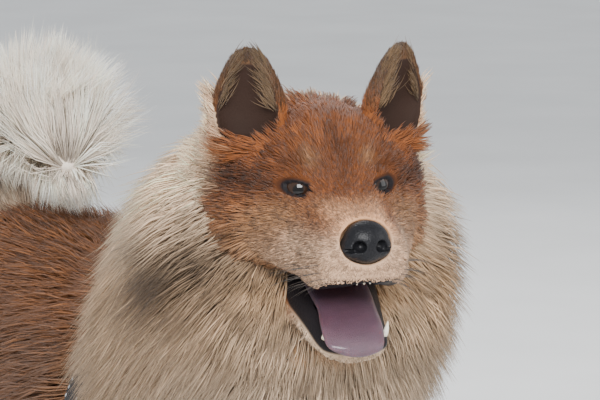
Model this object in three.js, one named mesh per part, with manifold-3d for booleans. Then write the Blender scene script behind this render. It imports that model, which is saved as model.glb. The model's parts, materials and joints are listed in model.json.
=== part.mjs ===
// A chow-type spitz dog, standing, as a still life-size model. Millimetres, +Z up.
// The dog faces -Y, its own right side is -X, and its four soles stand on z = 0.
// Every solid shows the outside of the coat: smooth where the fur is short, and with tapered locks
// over a core on the ruff, the body, the breeches and the tail.

import * as THREE from "three";
import { mergeVertices } from "three/addons/utils/BufferGeometryUtils.js";
import Module from "manifold-3d";

const wasm = await Module();
wasm.setup();

// Driving dimensions of the animal
const GAP = 0.35; // between solids that touch
const BOX_MIDDLE = [1, -54]; // middle of the standing dog's bounding box, in x and y of the design
const EYES = [-22, -370, 655]; // midpoint between the eyes
const HEAD_TURN = THREE.MathUtils.degToRad(9); // the head looks a little to the dog's right
const EYE_SPREAD = 31; // each eye's surface from the middle of the face
const EYE_RADIUS = 11;
const FORELEG_SPREAD = 72;
const HINDLEG_SPREAD = 70;
const CUT_ABOVE_PAW = 50;
const BIG = 1500; // size of a cutting block

const vec = (x, y, z) => new THREE.Vector3(x, y, z);
const degrees = THREE.MathUtils.degToRad;

// Seeded draws, so that the coat is the same each time
function draws(seed) {
  let state = seed >>> 0;
  return (low, high) => {
    state = (state + 0x6d2b79f5) >>> 0;
    let t = state;
    t = Math.imul(t ^ (t >>> 15), t | 1);
    t ^= t + Math.imul(t ^ (t >>> 7), t | 61);
    return low + (high - low) * (((t ^ (t >>> 14)) >>> 0) / 4294967296);
  };
}

// Solids and cuts

function toSolid(geometry) {
  const bare = geometry.clone();
  for (const name of Object.keys(bare.attributes)) {
    if (name !== "position") bare.deleteAttribute(name);
  }
  const merged = mergeVertices(bare, 1e-4);
  return new wasm.Manifold(
    new wasm.Mesh({
      numProp: 3,
      vertProperties: merged.attributes.position.array,
      triVerts: new Uint32Array(merged.index.array),
    }),
  );
}

const join = (solids) => wasm.Manifold.union(solids);

function largest(solid) {
  const pieces = solid.decompose();
  return pieces.reduce((a, b) => (b.volume() > a.volume() ? b : a));
}

// A block that fills the side of a plane towards which its normal points
function halfSpace(point, normal) {
  const turn = new THREE.Quaternion().setFromUnitVectors(
    vec(0, 0, 1),
    normal.clone().normalize(),
  );
  const block = new THREE.BoxGeometry(BIG, BIG, BIG)
    .translate(0, 0, BIG / 2)
    .applyQuaternion(turn)
    .translate(point.x, point.y, point.z);
  return toSolid(block);
}

function cutAway(solid, point, normal, gap = GAP / 2) {
  const start = point.clone().addScaledVector(normal.clone().normalize(), -gap);
  return solid.subtract(halfSpace(start, normal));
}

function ellipsoid(centre, radii, across = 14, high = 9, turn = [0, 0, 0]) {
  return new THREE.SphereGeometry(1, across, high)
    .rotateX(Math.PI / 2)
    .scale(...radii)
    .applyQuaternion(
      new THREE.Quaternion().setFromEuler(new THREE.Euler(...turn)),
    )
    .translate(...centre);
}

// Rings of points joined into a closed surface with a pole at each end
function stitch(rings, startPole, endPole) {
  const count = rings[0].length;
  const points = [startPole, ...rings.flat(), endPole];
  const last = points.length - 1;
  const at = (ring, i) => 1 + ring * count + (i % count);
  const faces = [];
  for (let i = 0; i < count; i++) {
    faces.push(0, at(0, i), at(0, i + 1));
    faces.push(last, at(rings.length - 1, i + 1), at(rings.length - 1, i));
    for (let ring = 0; ring < rings.length - 1; ring++) {
      faces.push(at(ring, i), at(ring + 1, i), at(ring + 1, i + 1));
      faces.push(at(ring, i), at(ring + 1, i + 1), at(ring, i + 1));
    }
  }
  return new THREE.BufferGeometry()
    .setAttribute(
      "position",
      new THREE.Float32BufferAttribute(points.flatMap((p) => p.toArray()), 3),
    )
    .setIndex(faces);
}

const power = (value, exponent) =>
  Math.sign(value) * Math.pow(Math.abs(value), exponent);

// A rounded form that follows a line through its stations. Each station has its centre (at), its
// half width, how far it reaches above and below the line (up, down), and how square it is above and
// below (upPower, downPower: 2 is an ellipse). across is the direction of the width, and facing, if
// given, keeps every section at right angles to one direction.
class Form {
  constructor(stations, { rings, sides, facing = null, grow = 0, ends = 0.1, across = vec(1, 0, 0) }) {
    this.rings = rings;
    this.sides = sides;
    this.facing = facing;
    this.grow = grow;
    this.across = across;
    this.ends = Array.isArray(ends) ? ends : [ends, ends];
    this.line = new THREE.CatmullRomCurve3(
      stations.map((s) => vec(...s.at)),
      false,
      "catmullrom",
      0.5,
    );
    const places = stations.map((_, i) => i / (stations.length - 1));
    const sizes = stations.flatMap((s) => [
      s.wide,
      s.up,
      s.down ?? s.up,
      s.upPower ?? 2,
      s.downPower ?? 2,
    ]);
    this.sizes = new THREE.CubicInterpolant(places, sizes, 5);
  }

  section(u) {
    const along = (this.facing ?? this.line.getTangent(u)).clone().normalize();
    const side = this.across.clone().addScaledVector(along, -this.across.dot(along)).normalize();
    const up = side.clone().cross(along);
    const [wide, high, deep, upPower, downPower] = this.sizes.evaluate(u);
    const centre = this.line.getPoint(u).addScaledVector(along, this.grow * (2 * u - 1));
    const [first, last] = this.ends;
    const fromEnd = Math.min(first ? u / first : 1, last ? (1 - u) / last : 1, 1);
    const round = Math.sqrt(Math.max(0, 1 - (1 - fromEnd) ** 2));
    return { along, side, up, wide, high, deep, upPower, downPower, centre, round };
  }

  point(u, angle) {
    const s = this.section(u);
    const above = Math.sin(angle) >= 0;
    const exponent = 2 / (above ? s.upPower : s.downPower);
    const x = (s.wide + this.grow) * s.round * power(Math.cos(angle), exponent);
    const reach = (above ? s.high : s.deep) + this.grow;
    const z = reach * s.round * power(Math.sin(angle), exponent);
    return s.centre.clone().addScaledVector(s.side, x).addScaledVector(s.up, z);
  }

  normal(u, angle) {
    const step = 0.01;
    const lengthwise = this.point(Math.min(1, u + step), angle).sub(this.point(Math.max(0, u - step), angle));
    const around = this.point(u, angle + step).sub(this.point(u, angle - step));
    return lengthwise.cross(around).normalize();
  }

  geometry() {
    const rings = [];
    for (let ring = 1; ring < this.rings; ring++) {
      const t = ring / this.rings;
      const u = 0.5 * t + 0.25 * (1 - Math.cos(Math.PI * t));
      rings.push(
        Array.from({ length: this.sides }, (_, i) => this.point(u, (i / this.sides) * 2 * Math.PI)),
      );
    }
    return stitch(rings, this.section(0).centre, this.section(1).centre);
  }

  grown(by) {
    const copy = Object.create(this);
    copy.grow = by;
    return copy;
  }
}

// The coat's locks

// Share of the lock's length, width and thickness at each of its rings
const LOCK_RINGS = [
  [0, 0.8, 1],
  [0.36, 1, 0.95],
  [0.7, 0.7, 0.6],
];

// A flat, tapered lock: it leaves the surface at an angle of lift and bends over to run at -droop
function lock(root, normal, lie, { length, width, thick, lift, droop, sink }) {
  const across = lie.clone().cross(normal).normalize();
  const bend = (share) => degrees(lift - (lift + droop) * share);
  const heading = (share) =>
    lie.clone().multiplyScalar(Math.cos(bend(share))).addScaledVector(normal, Math.sin(bend(share)));
  const steps = 12;
  const path = [root.clone().addScaledVector(heading(0), -sink)];
  for (let i = 0; i < steps; i++) {
    path.push(path[i].clone().addScaledVector(heading((i + 0.5) / steps), (length + sink) / steps));
  }
  const rings = LOCK_RINGS.map(([share, wide, deep]) => {
    const centre = path[Math.round(share * steps)];
    const outward = across.clone().cross(heading(share));
    const half = across.clone().multiplyScalar((width * wide) / 2);
    return [
      centre.clone().add(half),
      centre.clone().addScaledVector(outward, thick * deep),
      centre.clone().sub(half),
    ];
  });
  return toSolid(stitch(rings, path[0], path[steps]));
}

// One lock that stays clear of the neighbours: it is lifted and shortened until it does
function clearLock(root, normal, lie, size, neighbours) {
  for (let attempt = 0; attempt < 4; attempt++) {
    const bent = {
      ...size,
      length: size.length * (1 - 0.2 * attempt),
      lift: size.lift + 6 * attempt,
    };
    const room = { ...bent, width: bent.width + 2 * GAP, thick: bent.thick + 2 * GAP, length: bent.length + GAP };
    const kept = root.clone().addScaledVector(normal, -GAP);
    const needed = lock(kept, normal, lie, room);
    if (neighbours.every((other) => needed.intersect(other).isEmpty())) return lock(root, normal, lie, bent);
  }
  return null;
}

// Rows of locks round a form. Each row: u on the form, the first and last angle in degrees, how many
// locks, and its own sizes over the coat's. lie gives the direction of the hair at a place.
function locksOn(form, rows, { seed, lie, neighbours = [], ...coat }) {
  const draw = draws(seed);
  const made = [];
  rows.forEach(({ u, from, to, count, ...own }, row) => {
    const size = { ...coat, ...own };
    const pitch = (to - from) / count;
    for (let i = 0; i < count; i++) {
      const angle = degrees(from + pitch * (i + 0.5 + 0.25 * (row % 2 ? 1 : -1) + draw(-0.12, 0.12)));
      const place = THREE.MathUtils.clamp(u + draw(-0.012, 0.012), 0.01, 0.99);
      const root = form.point(place, angle);
      const normal = form.normal(place, angle);
      const flow = size.lie?.clone() ?? lie(root, normal, form.section(place));
      const flat = flow.addScaledVector(normal, -flow.dot(normal)).normalize();
      const varied = {
        ...size,
        length: size.length * draw(0.88, 1.12),
        width: size.width * draw(0.9, 1.1),
        lift: size.lift + draw(-4, 4),
      };
      const one = clearLock(root, normal, flat, varied, neighbours);
      if (one) made.push(one);
    }
  });
  return made;
}

const down = vec(0, 0, -1);

// Torso: chest, ribs, loin and rump on one level line

const TORSO = [
  { at: [0, -224, 440], wide: 56, up: 56, down: 62 },
  { at: [0, -192, 436], wide: 86, up: 98, down: 105 },
  { at: [0, -140, 430], wide: 106, up: 124, down: 142 },
  { at: [0, -70, 428], wide: 114, up: 132, down: 150 },
  { at: [0, 10, 432], wide: 114, up: 130, down: 142 },
  { at: [0, 90, 442], wide: 110, up: 120, down: 130 },
  { at: [0, 160, 452], wide: 106, up: 111, down: 118 },
  { at: [0, 222, 456], wide: 100, up: 104, down: 108 },
  { at: [0, 272, 455], wide: 80, up: 86, down: 90 },
];
const torsoForm = new Form(TORSO, { rings: 13, sides: 16, facing: vec(0, 1, 0), ends: [0.1, 0.12] });

// Neck under the ruff, from behind the skull down into the shoulders

const NECK = [
  { at: [-14, -330, 628], wide: 90, up: 106, down: 84, upPower: 2.5 },
  { at: [-8, -285, 602], wide: 100, up: 110, down: 104, upPower: 2.5 },
  { at: [-3, -235, 560], wide: 106, up: 110, down: 118, upPower: 2.3 },
  { at: [0, -185, 514], wide: 110, up: 101, down: 120 },
  { at: [0, -130, 470], wide: 100, up: 84, down: 96 },
];
const neckForm = new Form(NECK, { rings: 8, sides: 16, ends: [0.1, 0.2] });
const HEAD_CUT = { point: vec(-12, -306, 615), normal: vec(0.13, 0.84, -0.53) };
const TORSO_CUT = { point: vec(0, -172, 508), normal: vec(0, 0.75, -0.66) };

// Head, in its own frame: x to the dog's left, y backwards, z up, from the midpoint of the eyes

const headGroup = new THREE.Group();
headGroup.position.set(...EYES);
headGroup.rotation.z = -HEAD_TURN;
headGroup.updateMatrixWorld(true);
const inHead = (geometry) => toSolid(geometry.applyMatrix4(headGroup.matrixWorld));

// forward: distance ahead of the eyes; top, middle and bottom: heights; wide: half width
const HEAD = [
  { forward: 66, top: -17, middle: -38, bottom: -56, wide: 25, upPower: 2, downPower: 2.4 },
  { forward: 55, top: -11, middle: -40, bottom: -62, wide: 31, upPower: 2, downPower: 2.8 },
  { forward: 42, top: -7, middle: -42, bottom: -66, wide: 35, upPower: 1.9, downPower: 2.8 },
  { forward: 27, top: 1, middle: -43, bottom: -65, wide: 38, upPower: 1.7, downPower: 2.8 },
  { forward: 14, top: 11, middle: -42, bottom: -64, wide: 43, upPower: 1.6, downPower: 2.6 },
  { forward: 2, top: 27, middle: -38, bottom: -66, wide: 52, upPower: 1.7, downPower: 2.4 },
  { forward: -12, top: 47, middle: -30, bottom: -70, wide: 64, upPower: 2, downPower: 2.2 },
  { forward: -30, top: 61, middle: -22, bottom: -78, wide: 77, upPower: 2.2, downPower: 2.2 },
  { forward: -55, top: 64, middle: -15, bottom: -84, wide: 83, upPower: 2.4, downPower: 2.2 },
  { forward: -80, top: 57, middle: -5, bottom: -70, wide: 72, upPower: 2.2, downPower: 2 },
  { forward: -104, top: 40, middle: 5, bottom: -35, wide: 50, upPower: 2, downPower: 2 },
];
const headForm = new Form(
  HEAD.map(({ forward, top, middle, bottom, ...rest }) => ({
    at: [0, -forward, middle],
    up: top - middle,
    down: middle - bottom,
    ...rest,
  })),
  { rings: 17, sides: 20, facing: vec(0, 1, 0), ends: [0.09, 0.12] },
);
const skullGrown = inHead(headForm.grown(GAP).geometry());

// The open mouth seen from the side, as [forward, height]: along the upper lip, then back along the lower
const MOUTH_CORNER = [-26, -59];
const UPPER_LIP = [
  [8, -60],
  [26, -63],
  [41, -65],
  [55, -60],
  [72, -55],
];
const LOWER_LIP = [
  [90, -121],
  [50, -105],
  [33, -96],
  [23, -90],
  [-5, -77],
];
const MOUTH_HALF_WIDTH = 70;

function mouthGap() {
  const outline = new THREE.Shape([MOUTH_CORNER, ...UPPER_LIP, ...LOWER_LIP].map(([f, z]) => new THREE.Vector2(f, z)));
  return new THREE.ExtrudeGeometry(outline, { depth: 2 * MOUTH_HALF_WIDTH, bevelEnabled: false, steps: 1 })
    .translate(0, 0, -MOUTH_HALF_WIDTH)
    .rotateX(Math.PI / 2)
    .rotateZ(-Math.PI / 2);
}
const mouth = inHead(mouthGap());
const PALATE = { centre: [0, -20, -62], radii: [24, 40, 17] };
const palate = inHead(ellipsoid(PALATE.centre, PALATE.radii, 16, 8));

const LOWER_JAW = [
  { at: [0, 62, -62], wide: 42, up: 12, down: 20 },
  { at: [0, 24, -78], wide: 38, up: 18, down: 22 },
  { at: [0, -6, -91], wide: 32, up: 17, down: 19 },
  { at: [0, -30, -102], wide: 27, up: 14, down: 14 },
  { at: [0, -46, -107], wide: 22, up: 12, down: 9 },
];

const HOLLOW = { centre: [0, -12, -82], radii: [21, 44, 11], tilt: degrees(30) }; // of the jaw, for the tongue
const TOOTH = { radius: 3.2, length: 26, sides: 6 };
const LOWER_CANINE = [24, -35, -85];

const TONGUE = [
  { at: [0, 18, -69], wide: 18, up: 6 },
  { at: [0, 0, -74.5], wide: 19, up: 6 },
  { at: [-2, -26, -85], wide: 19, up: 5.5 },
  { at: [-5, -46, -92], wide: 21, up: 4.8 },
  { at: [-7, -59, -100], wide: 19.5, up: 4.2 },
  { at: [-8, -64, -108], wide: 14, up: 4 },
];

const NOSE = { centre: [0, -62, -29], wide: 17.5, deep: 13, high: 15 };
const WING = { spread: 9.5, back: 1, below: 3, radii: [9, 11, 9.5] };
const NOSTRIL = { spread: 9, ahead: 12, below: 2, radii: [4.2, 7, 3.8], turn: 0.5 };
const GROOVE = { wide: 1.4, deep: 6, high: 18, ahead: 14, below: 9 };

function noseGeometryParts(grow) {
  const [x, y, z] = NOSE.centre;
  const wings = [-1, 1].map((side) =>
    ellipsoid(
      [x + side * WING.spread, y + WING.back, z - WING.below],
      WING.radii.map((radius) => radius + grow),
      8,
      6,
    ),
  );
  return [ellipsoid([x, y, z], [NOSE.wide + grow, NOSE.deep + grow, NOSE.high + grow], 12, 7), ...wings];
}

function nose() {
  const [x, y, z] = NOSE.centre;
  const nostrils = [-1, 1].map((side) =>
    inHead(
      ellipsoid([x + side * NOSTRIL.spread, y - NOSTRIL.ahead, z - NOSTRIL.below], NOSTRIL.radii, 8, 5, [
        0,
        0,
        side * NOSTRIL.turn,
      ]),
    ),
  );
  const groove = inHead(
    new THREE.BoxGeometry(GROOVE.wide, GROOVE.deep, GROOVE.high).translate(x, y - GROOVE.ahead, z - GROOVE.below),
  );
  const pad = join(noseGeometryParts(0).map(inHead));
  return largest(pad.subtract(join([...nostrils, groove])));
}

// Eyes look forwards and outwards, and the lids are a shell over each with an almond opening
const EYE_OUTWARD = degrees(22);
const LID = 2.4;
const ALMOND = { half: 12, above: 8.6, below: 7.4, slant: degrees(14) };

function eyePlace(side) {
  const look = vec(side * Math.sin(EYE_OUTWARD), -Math.cos(EYE_OUTWARD), 0.06).normalize();
  const front = vec(side * EYE_SPREAD, -5.5, 0);
  return { look, centre: front.addScaledVector(look, -EYE_RADIUS) };
}

function eyeball(side, grow) {
  const { centre } = eyePlace(side);
  const r = EYE_RADIUS + grow;
  return inHead(ellipsoid(centre.toArray(), [r, r, r], 12, 8));
}

function almondCut(side) {
  const { look, centre } = eyePlace(side);
  const shape = new THREE.Shape();
  shape.moveTo(-ALMOND.half, 0);
  shape.quadraticCurveTo(0, 2 * ALMOND.above - 3, ALMOND.half, 0);
  shape.quadraticCurveTo(0, -2 * ALMOND.below + 3, -ALMOND.half, 0);
  const turn = new THREE.Matrix4().lookAt(look, vec(0, 0, 0), vec(0, 0, 1));
  return inHead(
    new THREE.ExtrudeGeometry(shape, { depth: 30, bevelEnabled: false, curveSegments: 6, steps: 1 })
      .rotateZ(side * ALMOND.slant)
      .applyMatrix4(turn)
      .translate(...centre.toArray()),
  );
}

// Soft forms on each side of the face: the brow and the pad of the upper lip
const BROW = { centre: [30, 15, 15], radii: [22, 15, 14], turn: 0.35 };
const LIP_PAD = { centre: [24, -36, -52], radii: [11, 20, 13], turn: -0.12 };

function facePad({ centre: [x, y, z], radii, turn }, side) {
  return inHead(ellipsoid([side * x, y, z], radii, 12, 7, [0, 0, side * turn]));
}

function head() {
  const sides = [-1, 1];
  const lids = sides.map((side) => eyeball(side, LID));
  const pads = sides.flatMap((side) => [facePad(BROW, side), facePad(LIP_PAD, side)]);
  const openings = sides.map(almondCut);
  const sockets = sides.map((side) => eyeball(side, GAP));
  const noseRoom = noseGeometryParts(GAP).map(inHead);
  const whole = join([inHead(headForm.geometry()), ...lids, ...pads]);
  const cut = whole.subtract(join([...openings, ...sockets, ...noseRoom, mouth, palate]));
  return largest(cutAway(cut, HEAD_CUT.point, HEAD_CUT.normal));
}

const tongueForm = new Form(TONGUE, { rings: 9, sides: 12, ends: [0.1, 0.16] });

function lowerJaw(skull) {
  const form = new Form(LOWER_JAW, { rings: 8, sides: 14, ends: [0.15, 0.14] });
  const hollow = inHead(ellipsoid(HOLLOW.centre, HOLLOW.radii, 14, 8, [-HOLLOW.tilt, 0, 0]));
  const canines = [-1, 1].map((side) => {
    const [x, y, z] = LOWER_CANINE;
    return inHead(
      new THREE.ConeGeometry(TOOTH.radius, TOOTH.length, TOOTH.sides).rotateX(Math.PI / 2).translate(side * x, y, z),
    );
  });
  const bone = inHead(form.geometry()).subtract(join([mouth, hollow, skullGrown]));
  const kept = cutAway(join([bone, ...canines]), HEAD_CUT.point, HEAD_CUT.normal);
  return largest(kept.subtract(join([inHead(tongueForm.grown(GAP).geometry()), skull])));
}

// Ears: a rounded triangle with its cup open forwards and outwards

const EAR = [
  { height: -26, wide: 25, deep: 16 },
  { height: 0, wide: 28.5, deep: 16 },
  { height: 18, wide: 26, deep: 13.5 },
  { height: 36, wide: 19, deep: 9 },
  { height: 52, wide: 10, deep: 5 },
];
const EAR_CUP = [
  { height: -12, wide: 14, deep: 9 },
  { height: 4, wide: 20, deep: 11 },
  { height: 18, wide: 19, deep: 9.5 },
  { height: 32, wide: 13, deep: 6 },
  { height: 44, wide: 6, deep: 3 },
];
const EAR_BASE = [52, 42, 43];
const EAR_TIP_OUT = { right: 0, left: 8 }; // how far each tip stands out from its base
const EAR_TIP_BACK = 3;
const EAR_FACING = degrees(28);

function earForm(stations, side, forward) {
  const facing = vec(side * Math.sin(EAR_FACING), -Math.cos(EAR_FACING), 0);
  const [x, y, z] = EAR_BASE;
  const top = EAR[EAR.length - 1].height;
  const out = side < 0 ? EAR_TIP_OUT.right : EAR_TIP_OUT.left;
  return new Form(
    stations.map(({ height, wide, deep }) => ({
      at: [
        side * (x + (out * height) / top) + facing.x * forward,
        y + (EAR_TIP_BACK * height) / top + facing.y * forward,
        z + height,
      ],
      wide,
      up: deep,
    })),
    {
      rings: 7,
      sides: 12,
      facing: vec(0, 0, 1),
      across: vec(Math.cos(EAR_FACING), side * Math.sin(EAR_FACING), 0),
      ends: [0.05, 0.16],
    },
  );
}

function ear(side, neck) {
  const shell = inHead(earForm(EAR, side, 0).geometry());
  const cup = inHead(earForm(EAR_CUP, side, 11).geometry());
  return largest(shell.subtract(join([cup, skullGrown])).subtract(neck));
}

// Legs. A leg's line runs down, so up in a section is the back of the leg.

const FORELEG = [
  { at: [58, -146, 440], wide: 46, up: 54, down: 50 },
  { at: [70, -138, 370], wide: 46, up: 56, down: 50 },
  { at: [FORELEG_SPREAD, -128, 290], wide: 42, up: 48, down: 42 },
  { at: [FORELEG_SPREAD, -126, 205], wide: 36, up: 38, down: 35 },
  { at: [FORELEG_SPREAD - 1, -130, 125], wide: 32, up: 33, down: 32 },
  { at: [FORELEG_SPREAD - 2, -134, 70], wide: 28, up: 28, down: 29 },
  { at: [FORELEG_SPREAD - 2, -138, 30], wide: 27, up: 25, down: 28 },
];
const HINDLEG = [
  { at: [48, 178, 440], wide: 46, up: 66, down: 66 },
  { at: [62, 178, 370], wide: 52, up: 78, down: 70 },
  { at: [HINDLEG_SPREAD, 180, 300], wide: 46, up: 66, down: 56 },
  { at: [HINDLEG_SPREAD, 212, 228], wide: 36, up: 44, down: 44 },
  { at: [HINDLEG_SPREAD - 1, 250, 160], wide: 27, up: 30, down: 36 },
  { at: [HINDLEG_SPREAD - 2, 252, 95], wide: 25, up: 25, down: 27 },
  { at: [HINDLEG_SPREAD - 2, 244, 30], wide: 26, up: 24, down: 28 },
];
const KNEES = { fore: 250, hind: 235 }; // height of the cut between the upper and the lower leg
const legForm = (stations, side) =>
  new Form(
    stations.map(({ at: [x, y, z], ...size }) => ({ at: [side * x, y, z], ...size })),
    { rings: 12, sides: 10, ends: [0.1, 0.04] },
  );

const TOES = [
  { x: -20, ahead: 20, turn: 0.2 },
  { x: -7, ahead: 31, turn: 0.06 },
  { x: 7, ahead: 31, turn: -0.06 },
  { x: 20, ahead: 20, turn: -0.2 },
];
const TOE = { radii: [10, 18, 14], height: 11 };
const CLAW = { radius: 3, length: 15, outward: 1.12, ahead: 19, height: 9, tilt: degrees(62) };
const HEEL = { back: 8, height: 15, radii: [27, 28, 22] };
const INSTEP = { height: 42, radii: [26, 27, 34] };

function paw(side, [x, y]) {
  const pads = TOES.map((toe) =>
    toSolid(ellipsoid([side * x + toe.x, y - toe.ahead, TOE.height], TOE.radii, 7, 4, [0.1, 0, toe.turn])),
  );
  const claws = TOES.map((toe) =>
    toSolid(
      new THREE.ConeGeometry(CLAW.radius, CLAW.length, 4)
        .rotateX(Math.PI)
        .rotateX(-CLAW.tilt)
        .rotateZ(toe.turn)
        .translate(side * x + toe.x * CLAW.outward, y - toe.ahead - CLAW.ahead, CLAW.height),
    ),
  );
  const heel = toSolid(ellipsoid([side * x, y + HEEL.back, HEEL.height], HEEL.radii, 8, 5));
  const instep = toSolid(ellipsoid([side * x, y, INSTEP.height], INSTEP.radii, 8, 5));
  const whole = join([...pads, ...claws, heel, instep]);
  const standing = cutAway(whole, vec(0, 0, 0), down, 0);
  return largest(cutAway(standing, vec(0, 0, CUT_ABOVE_PAW), vec(0, 0, 1)));
}

// Tail: it rises from the rump and curls forwards over the back

const TAIL = [
  { at: [0, 232, 500], wide: 36, up: 34 },
  { at: [0, 276, 552], wide: 34, up: 30 },
  { at: [-3, 268, 604], wide: 36, up: 30 },
  { at: [-8, 228, 628], wide: 38, up: 30 },
  { at: [-14, 184, 628], wide: 36, up: 28 },
  { at: [-20, 146, 618], wide: 28, up: 22 },
  { at: [-25, 116, 606], wide: 16, up: 14 },
];
const tailForm = new Form(TAIL, { rings: 11, sides: 10, ends: [0.06, 0.1] });

// Harness: a band of webbing round the chest behind the elbows, with a buckle and a ring

const BAND = { width: 25, thick: 2.2, proud: 0.6 };
const BAND_POINT = vec(0, -100, 480);
const BAND_NORMAL = vec(0, 1, 0.305).normalize();

function bandSlab(width) {
  const half = width / 2;
  const start = BAND_POINT.clone().addScaledVector(BAND_NORMAL, half);
  const end = BAND_POINT.clone().addScaledVector(BAND_NORMAL, -half);
  return (solid) => solid.subtract(halfSpace(start, BAND_NORMAL)).subtract(halfSpace(end, BAND_NORMAL.clone().negate()));
}

function shellBetween(inner, outer, width) {
  return bandSlab(width)(
    toSolid(torsoForm.grown(outer).geometry()).subtract(toSolid(torsoForm.grown(inner).geometry())),
  );
}

// The buckle lies on the band, low on the dog's right side
const BUCKLE = { angle: degrees(205), along: 36, across: 33, thick: 5, slot: 6, slotGap: 14 };

// Where a direction round the torso meets the middle of the band
function placeOnBand(angle) {
  const past = (u) => torsoForm.point(u, angle).sub(BAND_POINT).dot(BAND_NORMAL);
  let [low, high] = [0, 1];
  for (let i = 0; i < 30; i++) {
    const middle = (low + high) / 2;
    if (past(middle) < 0) low = middle;
    else high = middle;
  }
  return low;
}

function bucklePlace() {
  const u = placeOnBand(BUCKLE.angle);
  const normal = torsoForm.normal(u, BUCKLE.angle);
  const along = normal.clone().cross(BAND_NORMAL).normalize();
  const across = normal.clone().cross(along);
  const out = BAND.proud + BAND.thick + BUCKLE.thick / 2;
  return new THREE.Matrix4()
    .makeBasis(along, across, normal)
    .setPosition(torsoForm.point(u, BUCKLE.angle).addScaledVector(normal, out));
}

function bucklePlate(grow) {
  const sides = [BUCKLE.along, BUCKLE.across, BUCKLE.thick].map((side) => side + 2 * grow);
  return toSolid(new THREE.BoxGeometry(...sides).applyMatrix4(bucklePlace()));
}

function buckle(bandRoom) {
  const slots = [-1, 1].map((side) =>
    toSolid(
      new THREE.BoxGeometry(BUCKLE.slot, BAND.width, 3 * BUCKLE.thick)
        .translate((side * BUCKLE.slotGap) / 2, 0, 0)
        .applyMatrix4(bucklePlace()),
    ),
  );
  return largest(bucklePlate(0).subtract(join([...slots, bandRoom])));
}

// Everything is made in place, then handed to its group

const materials = {
  redCoat: new THREE.MeshStandardMaterial({ color: 0xa8714a, roughness: 0.85, metalness: 0 }),
  paleCoat: new THREE.MeshStandardMaterial({ color: 0xd9c4a8, roughness: 0.88, metalness: 0 }),
  darkSkin: new THREE.MeshStandardMaterial({ color: 0x2a282b, roughness: 0.4, metalness: 0 }),
  tongueSkin: new THREE.MeshStandardMaterial({ color: 0x6d5068, roughness: 0.35, metalness: 0 }),
  eyeGlass: new THREE.MeshStandardMaterial({ color: 0x17100c, roughness: 0.08, metalness: 0 }),
  webbing: new THREE.MeshStandardMaterial({ color: 0x17181c, roughness: 0.75, metalness: 0 }),
};

const dog = new THREE.Group();
const body = new THREE.Group();
body.position.set(-BOX_MIDDLE[0], -BOX_MIDDLE[1], 0);
body.add(headGroup);
dog.add(body);

function node(name, solid, material, group = body) {
  const mesh = solid.getMesh();
  const geometry = new THREE.BufferGeometry()
    .setAttribute("position", new THREE.Float32BufferAttribute(mesh.vertProperties, 3))
    .setIndex([...mesh.triVerts]);
  if (group === headGroup) geometry.applyMatrix4(headLocal);
  const made = new THREE.Mesh(geometry, materials[material]);
  made.name = name;
  group.add(made);
}
const headLocal = headGroup.matrixWorld.clone().invert();

const torsoCore = toSolid(torsoForm.geometry());
const torsoRoom = toSolid(torsoForm.grown(GAP + 0.1).geometry());

// Head and what it carries
const skull = head();
const jaw = lowerJaw(skull);

// Ruff
const neckCore = cutAway(
  cutAway(toSolid(neckForm.geometry()), HEAD_CUT.point, HEAD_CUT.normal.clone().negate()),
  TORSO_CUT.point,
  TORSO_CUT.normal,
);
const ears = [-1, 1].map((side) => ear(side, neckCore));
const RUFF_ROWS = [
  { u: 0.1, from: -10, to: 190, count: 10, length: 66, lift: 66, droop: -24, width: 50 },
  { u: 0.12, from: 190, to: 350, count: 6, length: 66, lift: 60, droop: -6, width: 44 },
  { u: 0.24, from: -10, to: 190, count: 7, length: 76, lift: 52, droop: -12 },
  { u: 0.24, from: 190, to: 350, count: 6, length: 84, lift: 52, droop: -4 },
  { u: 0.38, from: -95, to: 265, count: 11, lift: 42 },
  { u: 0.52, from: -95, to: 265, count: 10 },
  { u: 0.66, from: -60, to: 240, count: 8 },
  { u: 0.66, from: 240, to: 300, count: 3, lift: 30, length: 100 },
];
const ruffLie = (root, normal, section) => section.along.clone().addScaledVector(down, 0.45);
const ruffLocks = locksOn(neckForm, RUFF_ROWS, {
  seed: 7,
  lie: ruffLie,
  neighbours: [skull, jaw, ...ears],
  length: 94,
  width: 52,
  thick: 13,
  lift: 36,
  droop: 6,
  sink: 12,
});
const ruff = largest(
  cutAway(join([neckCore, ...ruffLocks]), HEAD_CUT.point, HEAD_CUT.normal.clone().negate()).subtract(torsoRoom),
);

node("head", skull, "redCoat", headGroup);
node("lower_jaw", jaw, "paleCoat", headGroup);
node("nose", nose(), "darkSkin", headGroup);
node("tongue", inHead(tongueForm.geometry()).subtract(skull), "tongueSkin", headGroup);
[-1, 1].forEach((side, i) => {
  const name = side < 0 ? "right" : "left";
  node("ear_" + name, ears[i], "redCoat", headGroup);
  node("eye_" + name, eyeball(side, 0), "eyeGlass", headGroup);
});
node("neck", ruff, "redCoat");

// Tail
const TAIL_ROWS = [
  { u: 0.14, from: 200, to: 340, count: 3, length: 52, lift: 30, droop: -20 },
  { u: 0.3, from: 180, to: 360, count: 4, length: 62, droop: -30 },
  { u: 0.44, from: 150, to: 390, count: 5 },
  { u: 0.57, from: -90, to: 270, count: 7 },
  { u: 0.7, from: -90, to: 270, count: 7 },
  { u: 0.83, from: -90, to: 270, count: 6, length: 64 },
  { u: 0.94, from: -90, to: 270, count: 5, length: 54, lift: 40, width: 36 },
];
const tailLocks = locksOn(tailForm, TAIL_ROWS, {
  seed: 21,
  lie: (root, normal, section) => section.along.clone(),
  neighbours: [torsoRoom, ruff],
  length: 64,
  width: 46,
  thick: 12,
  lift: 66,
  droop: -34,
  sink: 8,
});
const tail = largest(join([toSolid(tailForm.geometry()), ...tailLocks]).subtract(torsoRoom));
node("tail", tail, "paleCoat");

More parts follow.
